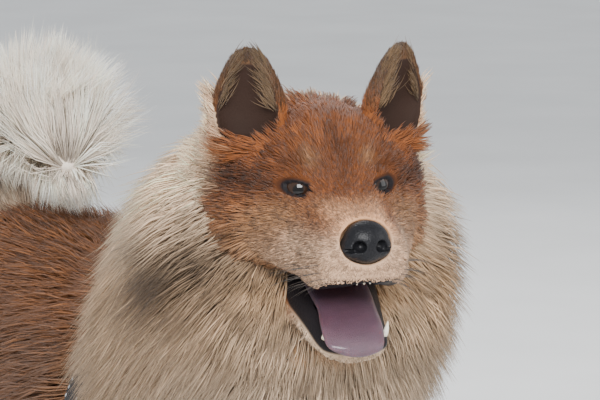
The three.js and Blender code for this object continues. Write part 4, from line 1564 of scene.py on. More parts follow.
    def length(self, at: Array) -> Array:
        """Hair length at points of the head, in millimetres."""
        forward, z, x = -at[:, 1], at[:, 2], np.abs(at[:, 0])
        steps = [(-100, 52), (-75, 50), (-50, 40), (-30, 28), (-12, 17), (2, 11), (20, 7), (45, 4.5), (70, 4)]
        length = np.interp(forward, *np.array(steps).T)
        top = smooth(z, 15, 45) * smooth(-forward, 0, 30) * smooth(-x, -64, -40)
        length = length * (1 - 0.5 * top * smooth(forward, -80, -50))
        jaw = smooth(-z, 84, 104) * smooth(-forward, -45, 10)
        low = smooth(-z, 14, 50) * smooth(-forward, 4, 34)
        length = length + 24 * low + 10 * jaw + 5 * smooth(x, 22, 34) * smooth(forward, 0, 20)
        mirrored = np.stack([x, at[:, 1], z], -1)
        ear_front = bump(mirrored, (52, 40, 52), (40, 36, 34))
        ear = np.maximum(ear_front, bump(mirrored, (78, 52, 40), (26, 40, 34)))
        eye = bump(mirrored, (31, -6, 0), (22, 20, 15))
        length = length * (1 - 0.72 * ear) * (1 - 0.35 * eye)
        lip = smooth(-self.mouth.distance(at), -18, -4) * (z < -45) * (forward > -45)
        return length * (1 - 0.6 * lip)

    def coats(self, rng: np.random.Generator) -> list[Coat]:
        """Short hair on the face, longer on the cheeks and skull, and the ears' hair."""
        roots = scatter_on_mesh(self.skin, self.form, self.hairs, rng, self.density)
        at = Space.to_head(roots.place)
        lie = self.lie(at) @ Space.head_axes.T
        length = self.length(at)
        cheek = smooth(length, 12, 30)
        colour = Markings.head(at)
        lift = 20 + 16 * cheek + 12 * smooth(at[:, 1], 30, 80)
        droop = -4 + 2 * cheek
        looks = {
            "face": {"width": 0.75, "rings": 2, "clump": 0.4, "clump_size": 9},
            "cheeks": {"width": 1.15, "rings": 3, "clump": 0.45, "clump_size": 20},
        }
        coats = []
        for name, own in (("face", length < self.long_hair), ("cheeks", length >= self.long_hair)):
            values = (lie[own], colour[own], length[own])
            bends = {"lift": lift[own], "droop": droop[own]}
            coats.append(Coat(name, roots.chosen(own), *values, **bends, **looks[name]))
        return [*coats, self.ear_coat(rng), self.ear_fringe(rng)]

    def ear_coat(self, rng: np.random.Generator) -> Coat:
        """Short hair on the outside and rim of the ears."""

        def keep(at: Array, normal: Array) -> Array:
            """1 on an ear's shell, 0 elsewhere and in the cups."""
            return self.on_ears(at, 50, 22, 16) & (at[:, 1] < 82) & ~Ear.in_cup(at, 1.2)

        roots = scatter_on_mesh(self.skin, self.form, self.ear_hairs, rng, keep)
        at = Space.to_head(roots.place)
        lie = np.stack([0.15 * np.sign(at[:, 0]), np.full(len(at), 0.15), np.ones(len(at))], -1)
        length = np.interp(at[:, 2], [50, 70, 95], [11.0, 8.0, 5.0])
        return Coat(
            "ears", roots, lie @ Space.head_axes.T, Markings.ear(at), length, width=0.8, lift=14.0,
            droop=-6.0, rings=2, clump=0.3, variety=0.22,
        )

    def ear_fringe(self, rng: np.random.Generator) -> Coat:
        """Long pale hair that stands across the opening of each ear, from its inner rim."""
        parts = [ear.fringe_roots(self.fringe_hairs, rng) for ear in self.ears]
        at, normal, lie = (np.vstack(column) for column in zip(*parts))
        form = self.form
        u, angle, _ = form.locate(at)
        roots = Roots(
            Space.from_head(at), normal @ Space.head_axes.T, np.zeros_like(at), form.unwrap(u, angle)
        )
        return Coat(
            "ear_fringe", roots, lie @ Space.head_axes.T, np.tile(Tone.GOLD * 0.26, (len(at), 1)),
            rng.uniform(9, 26, len(at)), width=0.65, lift=16.0, droop=0.0, rings=3, clump=0.3,
        )


@dataclass
class Nose:
    """The nose pad with its wings, nostrils, slits and groove; places are from its centre."""

    centre: tuple[float, float, float] = (0.0, -62.0, -29.0)
    radii: tuple[float, float, float] = (16.3, 13.0, 15.0)
    wing: Lump = Lump((8.8, 1, -3), (9, 11.5, 9.5))
    nostril: Lump = Lump((8.8, -12.5, -1.8), (5.0, 9, 4.6), 0.45)
    slit: Lump = Lump((15, -8, -4.8), (6.5, 4.5, 1.7), 0.8)
    groove: tuple = ((0, -15, -11), (0.8, 6, 12))

    def moved(self, piece: Surface) -> Surface:
        """A piece round the origin, moved to the nose."""
        points, faces = piece
        return Space.from_head(points + np.array(self.centre)), faces

    def build(self, material: bpy.types.Material) -> None:
        """Makes the pad and cuts its hollows."""
        pieces = [ball((0, 0, 0), self.radii), *(self.wing.on(side) for side in Side)]
        nose = join_meshes("nose_pad", [self.moved(piece) for piece in pieces])
        remesh(nose, 0.7, 3)
        for side in Side:
            carve(nose, self.moved(self.nostril.on(side)))
            carve(nose, self.moved(self.slit.on(side)))
        carve(nose, self.moved(ball(*self.groove)))
        remesh(nose, 0.6, 4)
        place(nose, material, Slot.DARK_SKIN, "nose")


@dataclass
class Tongue:
    """The tongue, laid over the lower front teeth: x, y, z, half width and half height."""

    sections: tuple = (
        (0, 24, -66, 22, 7),
        (0, 0, -74, 22, 7),
        (-2, -26, -83, 21, 6),
        (-5, -46, -91, 22, 4.8),
        (-7, -59, -100, 20.5, 4.2),
        (-8, -64, -108, 15, 4),
    )
    groove_width: float = 2.6
    groove_depth: float = 1.9
    edge_rise: float = 1.2

    def build(self, material: bpy.types.Material) -> None:
        """Makes the tongue, with a groove down its middle and raised edges."""
        stations = [Station((x, y, z), wide, up) for x, y, z, wide, up in self.sections]
        form = Form(stations, ends=(0.1, 0.16))
        points, faces = form.outline(60, 48)
        u, angle, _ = form.locate(points)
        top = np.sin(angle) > 0
        middle = np.exp(-((points[:, 0] / self.groove_width) ** 2))
        points[:, 2] -= self.groove_depth * middle * smooth(u, 0.1, 0.3) * smooth(-u, -0.97, -0.8) * top
        points[:, 2] += self.edge_rise * (np.abs(points[:, 0]) / 20) ** 2 * smooth(-u, -0.85, -0.5)
        tongue = new_object("tongue_flesh", Space.from_head(points), faces)
        tone = blend(np.tile(Tone.TONGUE_ROOT, (len(points), 1)), Tone.TONGUE, smooth(u, 0.2, 0.6))
        tone = blend(tone, Tone.TONGUE_GROOVE, 0.8 * np.exp(-((points[:, 0] / 3.5) ** 2)) * top)
        paint(tongue, tone)
        place(tongue, material, Slot.TONGUE, "tongue")


@dataclass
class Teeth:
    """Lower canines and the small upper front teeth behind the lip, each as a root and a tip."""

    canine: tuple = ((21.5, -37, -99), (22.5, -42, -88))
    canine_radius: float = 2.6
    canine_bend: tuple = (0, -1.4, 0)
    first_x: float = 2.6
    spacing: float = 4.8
    step_back: float = 1.5
    front_y: float = -49.0
    front_z: tuple[float, float] = (-56.0, -61.0)
    front_radius: float = 2.2

    def build(self, material: bpy.types.Material) -> None:
        """Makes all teeth as one piece."""
        pieces = []
        root, tip = (np.array(end, float) for end in self.canine)
        for side in Side:
            mirror = np.array([side, 1, 1])
            pieces.append(spike(root * mirror, tip * mirror, self.canine_radius, self.canine_bend))
            for index in range(3):
                x = side * (self.first_x + self.spacing * index)
                y = self.front_y + index * self.step_back
                high, low = self.front_z
                pieces.append(spike((x, y, high), (x, y - 1, low), self.front_radius))
        teeth = join_meshes("teeth", [in_head(piece) for piece in pieces])
        place(teeth, material, Slot.PALE)


@dataclass
class Whiskers:
    """Thin dark whiskers in rows on the muzzle."""

    rows: int = 4
    in_row: int = 5
    radius: float = 0.28
    rise: float = 2.0
    reach: tuple[float, float] = (20.0, 38.0)

    def build(self, muzzle: Form, material: bpy.types.Material, rng: np.random.Generator) -> None:
        """Makes all whiskers as one piece.

        Args:
            muzzle: the head's form, on which they stand.
            material: their finish.
            rng: the seeded draws.
        """
        pieces = []
        for side in Side:
            for row in range(self.rows):
                for index in range(self.in_row):
                    u = 0.10 + 0.045 * index + rng.uniform(-0.008, 0.008)
                    angle = math.radians(-8 - 13 * row + rng.uniform(-3, 3))
                    root = muzzle.point(u, angle if side is Side.LEFT else math.pi - angle)
                    length = rng.uniform(*self.reach)
                    way = unit(np.array([side * 1.0, 0.35 + 0.15 * index, -0.25 - 0.1 * row]))
                    pieces.append(spike(root, root + way * length, self.radius, (0, 0, self.rise), sides=5))
        place(join_meshes("whiskers", [in_head(piece) for piece in pieces]), material, Slot.DARK_SKIN)


# The body's parts


def stations_of(rows: Sequence[Sequence[float]], mirror: int = 1) -> list[Station]:
    """Sections from rows of x, y, z, half width, reach up, reach down and coat."""
    return [Station((mirror * x, y, z), wide, up, down, coat=coat) for x, y, z, wide, up, down, coat in rows]


@dataclass
class Torso:
    """Chest, ribs, loin and rump: y, z, half width, reach up and reach down, without the coat."""

    sections: tuple = (
        (-224, 440, 56, 56, 62),
        (-192, 436, 86, 98, 105),
        (-140, 430, 106, 124, 142),
        (-70, 428, 114, 132, 150),
        (10, 432, 114, 130, 142),
        (90, 442, 110, 120, 130),
        (160, 452, 106, 111, 118),
        (222, 456, 100, 104, 108),
        (272, 455, 80, 86, 90),
    )
    coat_depth: float = 14.0
    hairs: int = 24_000
    hair_length: float = 66.0

    def form_at(self, depth: float) -> Form:
        """The torso's form, at a depth under its solid."""
        stations = [Station((0, y, z), wide, up, down, coat=depth) for y, z, wide, up, down in self.sections]
        return Form(stations, ends=(0.1, 0.12), facing=(0, 1, 0), patch=(0.5, 0.0, 0.5, 0.5))

    @property
    def form(self) -> Form:
        """The torso's skin."""
        return self.form_at(self.coat_depth)

    def coat(self, others: Sequence[Form], rng: np.random.Generator) -> Coat:
        """The body's coat, along the back and down the flanks, outside the other forms."""
        roots = self.form.scatter(self.hairs, rng, lambda at: outside(at, others))
        chest = smooth(-roots.place[:, 1], 170, 215)
        lie = roots.along + np.array([0.0, 0.0, -0.5])
        lie = lie * (1 - chest)[:, None] + np.array([0.0, 0.0, -1.0]) * chest[:, None]
        return Coat(
            "torso", roots, lie, Markings.torso(roots.place), np.full(len(roots), self.hair_length),
            width=1.3, lift=24.0, droop=2.0, rings=2, clump=0.42, dark_tips=0.02, wave=0.1,
        )


@dataclass
class Neck:
    """The neck and its ruff. Rows give x, y, z, half width, reach up, reach down and power above."""

    sections: tuple = (
        (-14, -330, 628, 90, 106, 84, 2.5),
        (-8, -285, 602, 100, 110, 104, 2.5),
        (-3, -235, 560, 106, 110, 118, 2.3),
        (0, -185, 514, 110, 101, 120, 2.0),
        (0, -130, 470, 100, 84, 96, 2.0),
    )
    coat_depth: float = 16.0
    hairs: int = 39_000
    hair_length: float = 90.0

    @property
    def form(self) -> Form:
        """The neck's skin."""
        stations = [
            Station((x, y, z), wide, up, down, power, coat=self.coat_depth)
            for x, y, z, wide, up, down, power in self.sections
        ]
        return Form(stations, ends=(0.1, 0.2), patch=(0.5, 0.5, 0.5, 0.5))

    def coat(self, skull: Form, torso: Form, rng: np.random.Generator) -> Coat:
        """The ruff: long hair that stands out round the head and hangs over chest and shoulders.

        Args:
            skull: the head's form, inside which none grows.
            torso: the torso's form, inside which none grows.
            rng: the seeded draws.

        Returns:
            The ruff's tufts, which also leave the room of the open mouth free.
        """

        def keep(at: Array) -> Array:
            """1 outside the torso, the skull and the mouth, else 0."""
            free = outside(at, [torso])
            near = Space.to_head(at)
            free[(skull.locate(near)[2] < 0.92) & (near[:, 1] < 100)] = 0
            free[(near[:, 1] < 66) & (np.abs(near[:, 0]) < 27) & (near[:, 2] > -98)] = 0
            return free

        roots = self.form.scatter(self.hairs, rng, keep)
        cap = smooth(-(roots.normal * roots.along).sum(1), 0.2, 0.75)
        front = smooth(-roots.place[:, 1], 230, 320)
        top = smooth(roots.normal[:, 2], 0.25, 0.8) * smooth(-roots.place[:, 1], 180, 260)
        lie = roots.along + np.array([0.0, 0.0, -0.45]) * (1 - top)[:, None]
        outward = Space.to_head(roots.place) @ Space.head_axes.T
        lie = blend(lie, unit(outward * (1, 0.2, 1)) + np.array([0.0, 0.3, -0.5]), cap)
        return Coat(
            "ruff", roots, lie, Markings.ruff(roots.place),
            (self.hair_length - 22 * front) * (1 - 0.4 * top) * (1 - 0.52 * cap),
            width=1.15, lift=(34 + 20 * front) * (1 - 0.35 * top) * (1 - 0.5 * cap),
            droop=4 - 18 * front, rings=2, clump=0.42, dark_tips=0.06, wave=0.1,
        )


@dataclass
class Tail:
    """The tail, curled over the back. Rows are as for stations_of."""

    sections: tuple = (
        (0, 232, 500, 36, 34, 34, 12),
        (0, 276, 552, 34, 30, 30, 12),
        (-3, 268, 604, 36, 30, 30, 12),
        (-8, 228, 628, 38, 30, 30, 12),
        (-14, 184, 628, 36, 28, 28, 12),
        (-20, 146, 618, 28, 22, 22, 8),
        (-25, 116, 606, 16, 14, 14, 5),
    )
    hairs: int = 12_500
    hair_length: float = 48.0
    plume_longer: float = 30.0

    @property
    def form(self) -> Form:
        """The tail's skin."""
        return Form(stations_of(self.sections), ends=(0.06, 0.1), patch=(0.0, 0.0, 0.25, 0.25))

    def coat(self, torso: Form, rng: np.random.Generator) -> Coat:
        """The plume: long soft hair that fans out from the tail."""
        form = self.form
        roots = form.scatter(self.hairs, rng, lambda at: outside(at, [torso]))
        u = form.locate(roots.place)[0]
        spread = smooth(u, 0.2, 0.45)
        fan = smooth(u, 0.5, 0.72)
        below = smooth(-roots.normal[:, 2], 0.2, 0.8) * smooth(u, 0.3, 0.5)
        length = (self.hair_length + self.plume_longer * spread) * (1 - 0.25 * smooth(u, 0.8, 1.0))
        rise = np.clip(2.5 * (roots.normal[:, 2] + 0.35), -1, 1)
        spray = np.stack([0.9 * roots.normal[:, 0], np.full(len(roots), -0.2), 1.1 * rise], -1)
        return Coat(
            "tail", roots, blend(roots.along, spray, fan), Markings.tail(roots.place),
            length * (1 - 0.35 * below), width=1.15, lift=34 + 26 * spread - 22 * fan,
            droop=-16 - 16 * spread, rings=2, clump=0.45, wave=0.12, variety=0.08, slot=Slot.PALE,
        )


@dataclass
class Paw:
    """A paw at a place on the floor: toes, heel pad and instep, its hair and its claws.

    toes give x from the paw's middle, the way ahead and the turn.
    """

    x: float
    y: float
    toes: tuple = ((-20, 20, 0.2), (-7, 31, 0.06), (7, 31, -0.06), (20, 20, -0.2))
    toe_height: float = 11.0
    toe_radii: tuple = (8.6, 16.5, 12)
    pad: tuple = ((0, 8, 15), (24, 25, 19))
    instep: tuple = ((0, 0, 42), (23, 24, 32))
    sole: float = 0.6
    hairs: int = 1_500
    hair_shares: tuple = (1, 1, 1, 1, 2.2, 4.5)
    claw_radius: float = 3.0

    @property
    def lumps(self) -> list[tuple[Array, Array, float]]:
        """Centre, radii and turn of each rounded part, the toes first."""
        parts = [((tx, -ahead, self.toe_height), self.toe_radii, turn) for tx, ahead, turn in self.toes]
        parts += [(*self.pad, 0.0), (*self.instep, 0.0)]
        middle = np.array([self.x, self.y, 0.0])
        return [(middle + at, np.array(radii, float), turn) for at, radii, turn in parts]

    def skin(self) -> Surface:
        """The rounded parts as overlapping surfaces, flat under the foot."""
        points, faces = joined([ball(at, radii, turn=spin(turn)) for at, radii, turn in self.lumps])
        points[:, 2] = np.maximum(points[:, 2], self.sole)
        return points, faces

    def roots(self, leg: Form, rng: np.random.Generator) -> Roots:
        """Places on the outside of the paw, above the floor, with hair that points to the claws.

        Args:
            leg: the leg's form, for the unwrap.
            rng: the seeded draws.

        Returns:
            The roots; along holds the lie of the hair.
        """
        centres, radii, _ = (np.array(column) for column in zip(*self.lumps))
        share = np.array(self.hair_shares)
        kind = rng.choice(len(centres), self.hairs, p=share / share.sum())
        way = unit(rng.normal(size=(self.hairs, 3)))
        where = centres[kind] + way * radii[kind]
        free = where[:, 2] > 4
        for centre, size in zip(centres, radii):
            free &= np.linalg.norm((where - centre) / size, axis=1) > 0.985
        normal = unit(way / radii[kind])[free]
        where = where[free]
        lie = np.tile([0.0, -0.7, -0.6], (len(where), 1))
        u, angle, _ = leg.locate(where)
        return Roots(where, normal, lie, leg.unwrap(u, angle))

    def claws(self) -> list[Surface]:
        """Four blunt curved claws."""
        made = []
        for tx, ahead, turn in self.toes:
            start = (self.x + tx * 1.05, self.y - ahead - 12, 12)
            point = (self.x + tx * 1.16 - math.sin(turn) * 3, self.y - ahead - 25, 2.5)
            made.append(spike(start, point, self.claw_radius, (0, -1.5, 2.4)))
        return made


LEG_SECTIONS = {
    Limb.FORE: (
        (58, -146, 440, 46, 54, 50, 10),
        (70, -138, 370, 46, 56, 50, 10),
        (72, -128, 290, 42, 48, 42, 10),
        (72, -126, 205, 36, 38, 35, 8),
        (71, -130, 125, 32, 33, 32, 6),
        (70, -134, 70, 28, 28, 29, 4),
        (70, -138, 30, 27, 25, 28, 4),
    ),
    Limb.HIND: (
        (48, 178, 440, 46, 66, 66, 10),
        (62, 178, 370, 52, 78, 70, 12),
        (70, 180, 300, 46, 66, 56, 12),
        (70, 212, 228, 36, 44, 44, 9),
        (69, 250, 160, 27, 30, 36, 6),
        (68, 252, 95, 25, 25, 27, 4),
        (68, 244, 30, 26, 24, 28, 4),
    ),
}


@dataclass
class Leg:
    """One leg. Its sections are as for stations_of, on the left side."""

    limb: Limb
    side: Side
    hairs: int = 5_600
    form: Form = field(init=False)
    paw: Paw = field(init=False)

    def __post_init__(self) -> None:
        """Makes the form, with its own rectangle of the unwrap, and the paw under it."""
        rows = LEG_SECTIONS[self.limb]
        hind = self.limb is Limb.HIND
        patch = (0.375 if self.side is Side.LEFT else 0.25, 0.25 if hind else 0.0, 0.125, 0.25)
        self.form = Form(stations_of(rows, self.side), ends=(0.1, 0.04), patch=patch)
        self.paw = Paw(self.side * rows[-1][0], rows[-1][1])

    @property
    def name(self) -> str:
        """The leg's name, as in its pieces."""
        return f"{self.limb.value}_{self.side.word}"

    @property
    def nodes(self) -> list[str]:
        """Names of the leg's solids."""
        return [f"{self.limb.value}_{part}_{self.side.word}" for part in ("upper", "lower", "paw")]

    def coat(self, torso: Form, rng: np.random.Generator) -> Coat:
        """Hair on the leg: short in front and below, long feathers or breeches behind."""
        roots = self.form.scatter(self.hairs, rng, lambda at: outside(at, [torso], 0.97))
        z = roots.place[:, 2]
        rear = smooth(roots.normal[:, 1], 0.1, 0.7)
        high = smooth(z, 170, 300)
        if self.limb is Limb.HIND:
            length = 16 + 26 * high + 34 * rear * smooth(z, 150, 260)
        else:
            length = 15 + 24 * high + 26 * rear * smooth(z, 110, 200)
        return Coat(
            self.name, roots, roots.along, Markings.leg(roots.place, self.limb), length, width=1.2,
            lift=20 + 12 * rear * high + 4 * high, droop=1.0, rings=2, clump=0.4, slot=Slot.PALE,
        )

    def paw_coat(self, rng: np.random.Generator) -> Coat:
        """Short hair over the paw."""
        roots = self.paw.roots(self.form, rng)
        return Coat(
            f"paw_{self.name}", roots, roots.along, Markings.leg(roots.place, self.limb),
            6 + 5 * smooth(roots.place[:, 2], 20, 60), width=1.0, lift=16.0, droop=-4.0, rings=2,
            clump=0.2,
        )


@dataclass
class Body:
    """Neck, torso, tail and legs under one skin."""

    neck: Neck = field(default_factory=Neck)
    torso: Torso = field(default_factory=Torso)
    tail: Tail = field(default_factory=Tail)
    legs: list[Leg] = field(default_factory=lambda: [Leg(limb, side) for limb in Limb for side in Side])
    voxel: float = 4.4

    def build(self, material: bpy.types.Material) -> None:
        """Makes the skin and paints it."""
        pieces = [part.form.outline(60, 64) for part in (self.neck, self.torso, self.tail)]
        pieces += [leg.form.outline(60, 40) for leg in self.legs]
        pieces += [leg.paw.skin() for leg in self.legs]
        skin = join_meshes("skin_body", pieces)
        remesh(skin, self.voxel, 2)
        at = mesh_points(skin)
        paint(skin, self.colours(at))
        paint(skin, np.zeros((len(at), 3)), "Wet")
        names = [name for leg in self.legs for name in leg.nodes]
        place(skin, material, Slot.RED, "neck", "torso", "tail", *names)

    @staticmethod
    def colours(at: Array) -> Array:
        """Colours of the skin at points of the design."""
        colour = Markings.torso(at)
        neck = smooth(-at[:, 1], 130, 190) * smooth(at[:, 2], 380, 450)
        colour = blend(colour, Markings.ruff(at), neck)
        low = at[:, 2] < 330
        behind = (at[:, 1] > 40)[:, None]
        leg = np.where(behind, Markings.leg(at, Limb.HIND), Markings.leg(at, Limb.FORE))
        colour[low] = blend(colour, leg, smooth(-at[:, 2], -330, -270))[low]
        tail = (at[:, 1] > 100) & (at[:, 2] > 570)
        colour[tail] = Markings.tail(at[tail])
        colour[at[:, 2] < 3.0] = Tone.LIP * 2
        # Painted shade: the skin under the hair is darker than the coat's colours.
        return colour * SKIN_PAINTED_SHADE

    def build_claws(self, material: bpy.types.Material) -> None:
        """Dark claws, four to a foot."""
        pieces = [claw for leg in self.legs for claw in leg.paw.claws()]
        place(join_meshes("claws", pieces), material, Slot.DARK_SKIN)

    def coats(self, skull: Form, harness: "Harness", rng: np.random.Generator) -> list[Coat]:
        """The hair of the ruff, torso, tail and legs.

        Args:
            skull: the head's form, inside which no hair grows.
            harness: the band that the hair leaves free.
            rng: the seeded draws.

        Returns:
            The regions, in the order of their draws.
        """
        torso = self.torso.form
        others = [self.neck.form, *(leg.form for leg in self.legs)]
        coats = [self.neck.coat(skull, torso, rng), harness.clear(self.torso.coat(others, rng))]
        coats.append(self.tail.coat(torso, rng))
        for leg in self.legs:
            coats += [harness.clear(leg.coat(torso, rng)), leg.paw_coat(rng)]
        return coats


# Harness


@dataclass
class Harness:
    """The band round the chest, its buckle and its two rows of stitches.

    The band's middle plane passes through point and leans by slope. Its two solids are kept.
    """

    torso: Torso
    point: tuple[float, float, float] = (0.0, -100.0, 480.0)
    slope: float = 0.305
    width: float = 25.0
    height: float = 2.8
    seams: tuple[float, float] = (-8.5, 8.5)
    pitch: float = 0.052
    stitch_half_width: float = 0.75
    stitch_half_height: float = 0.45
    chest_height: float = 440.0

    def past(self, points: Array) -> Array:
        """How far points lie behind the band's middle plane."""
        return (points - np.array(self.point)) @ self.normal

    @property
    def normal(self) -> Array:
        """The direction along the body that the band's plane faces."""
        return unit(np.array([0.0, 1.0, self.slope]))

    def clear(self, coat: Coat) -> Coat:
        """Leaves the band free: no roots under it, and the hair ahead of it ends at its edge."""
        past = self.past(coat.roots.place)
        lengthwise = unit(coat.lie) @ self.normal
        edge = (-past - self.width / 2 + 2) / np.maximum(lengthwise, 0.35)
        short = np.minimum(coat.length, np.maximum(edge, 10))
        coat.length = np.where((past < 0) & (lengthwise > 0), short, coat.length)
        coat.keep(np.abs(past) > self.width / 2 + 3)
        return coat

    def place_on_band(self, form: Form, angle: float, offset: float) -> Array:
        """A place on the band's outer face, at an angle round the chest and across its width."""
        line = form.point(np.linspace(0.1, 0.6, 400), angle)
        return line[np.abs(self.past(line) - offset).argmin()]

    def build(self, frame: dict, webbing: bpy.types.Material, buckle: bpy.types.Material) -> None:
        """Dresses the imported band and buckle.

        Args:
            frame: the loaded frame.
            webbing: the band's finish.
            buckle: the buckle's finish.
        """
        for name, material in (("harness_band", webbing), ("harness_buckle", buckle)):
            node = frame["nodes"][name]
            node.data.materials.clear()
            node.data.materials.append(material)

    def build_stitches(self, thread: bpy.types.Material) -> None:
        """Sets a rounded bar on every point of the two seams."""
        form = self.torso.form_at(-self.height)
        middles, turns, reaches = [], [], []
        for offset in self.seams:
            for angle in np.arange(0, 2 * np.pi, self.pitch):
                start = self.place_on_band(form, angle, offset)
                end = self.place_on_band(form, angle + self.pitch / 2, offset)
                along = unit(end - start)
                out = unit(start - np.array([0, start[1], self.chest_height]))
                across = unit(np.cross(out, along))
                axes = np.stack([along, across, np.cross(along, across)], 1)
                middles.append((start + end) / 2)
                turns.append(Matrix(axes.tolist()).to_quaternion())
                reaches.append(np.linalg.norm(end - start) / 2 * MM)
        stitches = new_object("harness_stitches", np.array(middles), [])
        turn = stitches.data.attributes.new("Turn", "QUATERNION", "POINT")
        turn.data.foreach_set("value", np.array(turns, np.float32).ravel())
        reach = stitches.data.attributes.new("Reach", "FLOAT", "POINT")
        reach.data.foreach_set("value", np.array(reaches, np.float32))
        sizes = {"Half width": self.stitch_half_width * MM, "Half height": self.stitch_half_height * MM}
        apply_nodes(stitches, stitch_tree(), {**sizes, "Thread": thread})
        place(stitches, thread, Slot.WEBBING)


def stitch_tree() -> bpy.types.NodeTree:
    """A tree that sets one rounded bar on each point, by the point's own turn and reach."""
    tree = bpy.data.node_groups.new("stitches", "GeometryNodeTree")
    tree.interface.new_socket("Points", in_out="INPUT", socket_type="NodeSocketGeometry")
    for name in ("Half width", "Half height"):
        tree.interface.new_socket(name, in_out="INPUT", socket_type="NodeSocketFloat")
    tree.interface.new_socket("Thread", in_out="INPUT", socket_type="NodeSocketMaterial")
    tree.interface.new_socket("Stitches", in_out="OUTPUT", socket_type="NodeSocketGeometry")

    def node(kind: str, **values: object) -> bpy.types.Node:
        """Adds a node and sets its input values."""
        made = tree.nodes.new(kind)
        for name, value in values.items():
            made.inputs[name].default_value = value
        return made

    given = node("NodeGroupInput")
    bar = node("GeometryNodeMeshUVSphere", Segments=8, Rings=5, Radius=1.0)
    turn = tree.nodes.new("GeometryNodeInputNamedAttribute")
    turn.data_type = "QUATERNION"
    turn.inputs["Name"].default_value = "Turn"
    reach = node("GeometryNodeInputNamedAttribute", Name="Reach")
    size = node("ShaderNodeCombineXYZ")
    spread = node("GeometryNodeInstanceOnPoints")
    real = node("GeometryNodeRealizeInstances")
    dress = node("GeometryNodeSetMaterial")
    result = node("NodeGroupOutput")
    for output, target in (
        (given.outputs["Points"], spread.inputs["Points"]),
        (bar.outputs["Mesh"], spread.inputs["Instance"]),
        (turn.outputs["Attribute"], spread.inputs["Rotation"]),
        (reach.outputs["Attribute"], size.inputs["X"]),
        (given.outputs["Half width"], size.inputs["Y"]),
        (given.outputs["Half height"], size.inputs["Z"]),
        (size.outputs["Vector"], spread.inputs["Scale"]),
        (spread.outputs["Instances"], real.inputs["Geometry"]),
        (real.outputs["Geometry"], dress.inputs["Geometry"]),
        (given.outputs["Thread"], dress.inputs["Material"]),
        (dress.outputs["Geometry"], result.inputs["Stitches"]),
    ):
        tree.links.new(output, target)
    return tree


# View, light and floor


@dataclass
class PhotoView:
    """The photograph's view, in its pixels, degrees and millimetres.

    eyes is the pixel of the eyes' midpoint, and scale the pixels in a millimetre there.
    """

    size: tuple[int, int] = (600, 400)
    eyes: tuple[float, float] = (338.5, 187.0)
    scale: float = 1.44
    azimuth: float = -26.0
    elevation: float = 8.5
    distance: float = 2500.0
    sensor: float = 36.0

    def build(self) -> None:
        """Makes the camera, with the eyes' midpoint on its own pixel."""
        azimuth, elevation = math.radians(self.azimuth), math.radians(self.elevation)
        right = np.array([math.cos(azimuth), math.sin(azimuth), 0.0])
        level = np.array([math.sin(azimuth), -math.cos(azimuth), 0.0])
        away = level * math.cos(elevation) + np.array([0.0, 0.0, math.sin(elevation)])
        up = np.cross(away, right)
        aside = (self.size[0] / 2 - self.eyes[0]) / self.scale
        above = (self.eyes[1] - self.size[1] / 2) / self.scale
        target = EYES + right * aside + up * above
        camera = bpy.data.cameras.new("photo_view")
        camera.sensor_width = self.sensor
        camera.lens = self.scale * self.distance * self.sensor / self.size[0]
        camera.clip_end = 50
        holder = bpy.data.objects.new("photo_view", camera)
        holder.location = Space.metres(target + away * self.distance)
        holder.rotation_euler = Vector(-away).to_track_quat("-Z", "Y").to_euler()
        bpy.context.scene.collection.objects.link(holder)
        bpy.context.scene.camera = holder


@dataclass(frozen=True)
class Light:
    """A square soft light, in metres and watts."""

    name: str
    place: tuple[float, float, float]
    aim: tuple[float, float, float]
    size: float
    power: float

    def build(self) -> None:
        """Makes the light."""
        light = bpy.data.lights.new(self.name, "AREA")
        light.size = self.size
        light.energy = self.power
        holder = bpy.data.objects.new(self.name, light)
        holder.location = self.place
        holder.rotation_euler = (Vector(self.aim) - Vector(self.place)).to_track_quat("-Z", "Y").to_euler()
        bpy.context.scene.collection.objects.link(holder)


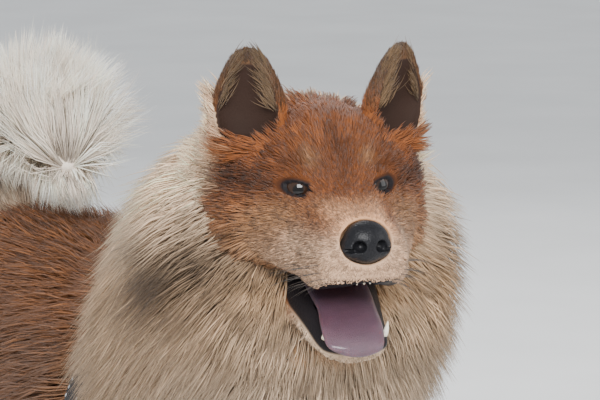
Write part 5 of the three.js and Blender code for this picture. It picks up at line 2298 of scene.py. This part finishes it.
@dataclass
class Studio:
    """Pale floor, pale surroundings and soft lights."""

    floor_size: float = 30.0
    sky: tuple[float, float, float, float] = (0.86, 0.89, 0.93, 1.0)
    sky_strength: float = 1.05
    lights: tuple[Light, ...] = (
        Light("key", (-1.6, -2.8, 2.2), (0, -0.2, 0.5), 1.4, 150),
        Light("fill", (2.6, -2.0, 1.5), (0, -0.1, 0.5), 2.2, 42),
        Light("eyes", (-0.55, -2.5, 1.65), (0, -0.3, 0.65), 0.6, 32),
        Light("rim", (0.6, 2.8, 2.6), (0, 0, 0.5), 1.8, 95),
    )

    def build(self) -> None:
        """Makes the floor, the surroundings and the lights."""
        bpy.ops.mesh.primitive_plane_add(size=self.floor_size)
        floor = bpy.context.object
        floor.name = "floor"
        floor.data.materials.append(PALE_FLOOR.make())
        world = bpy.data.worlds.new("studio")
        world.use_nodes = True
        background = world.node_tree.nodes["Background"]
        background.inputs["Color"].default_value = self.sky
        background.inputs["Strength"].default_value = self.sky_strength
        bpy.context.scene.world = world
        for light in self.lights:
            light.build()


@dataclass
class Dog:
    """Everything that is built on the frame, with one stream of seeded draws."""

    frame: dict
    head: Head = field(default_factory=Head)
    body: Body = field(default_factory=Body)
    rng: np.random.Generator = field(default_factory=lambda: np.random.default_rng(SEED))

    def build(self) -> None:
        """Makes the skin, the small pieces and the coat."""
        skin, horn = SKIN.make(), CLAW_HORN.make()
        harness = Harness(self.body.torso)
        self.head.build(skin)
        self.body.build(skin)
        eye_surface = EYE_SURFACE.make()
        for eye in self.head.eyes:
            eye.build(eye_surface)
        Nose().build(NOSE_LEATHER.make())
        Tongue().build(TONGUE_FLESH.make())
        Teeth().build(TOOTH_ENAMEL.make())
        self.body.build_claws(horn)
        Whiskers().build(self.head.form, horn, self.rng)
        harness.build(self.frame, BLACK_WEBBING.make(), BUCKLE_PLASTIC.make())
        harness.build_stitches(PALE_THREAD.make())
        self.grow(harness)

    def grow(self, harness: Harness) -> None:
        """Grows every region's tufts."""
        hair = HAIR.make()
        grower = Grower(self.rng)
        coats = self.head.coats(self.rng) + self.body.coats(self.head.form, harness, self.rng)
        for coat in coats:
            for piece in grower.grow(coat):
                place(piece, hair, coat.slot)


def main() -> None:
    """Loads the frame, builds the view, the studio and the dog."""
    logging.basicConfig(level=logging.INFO, format="%(message)s")
    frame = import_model()
    Space.fit()
    PhotoView().build()
    Studio().build()
    Dog(frame).build()


if __name__ == "__main__":
    main()
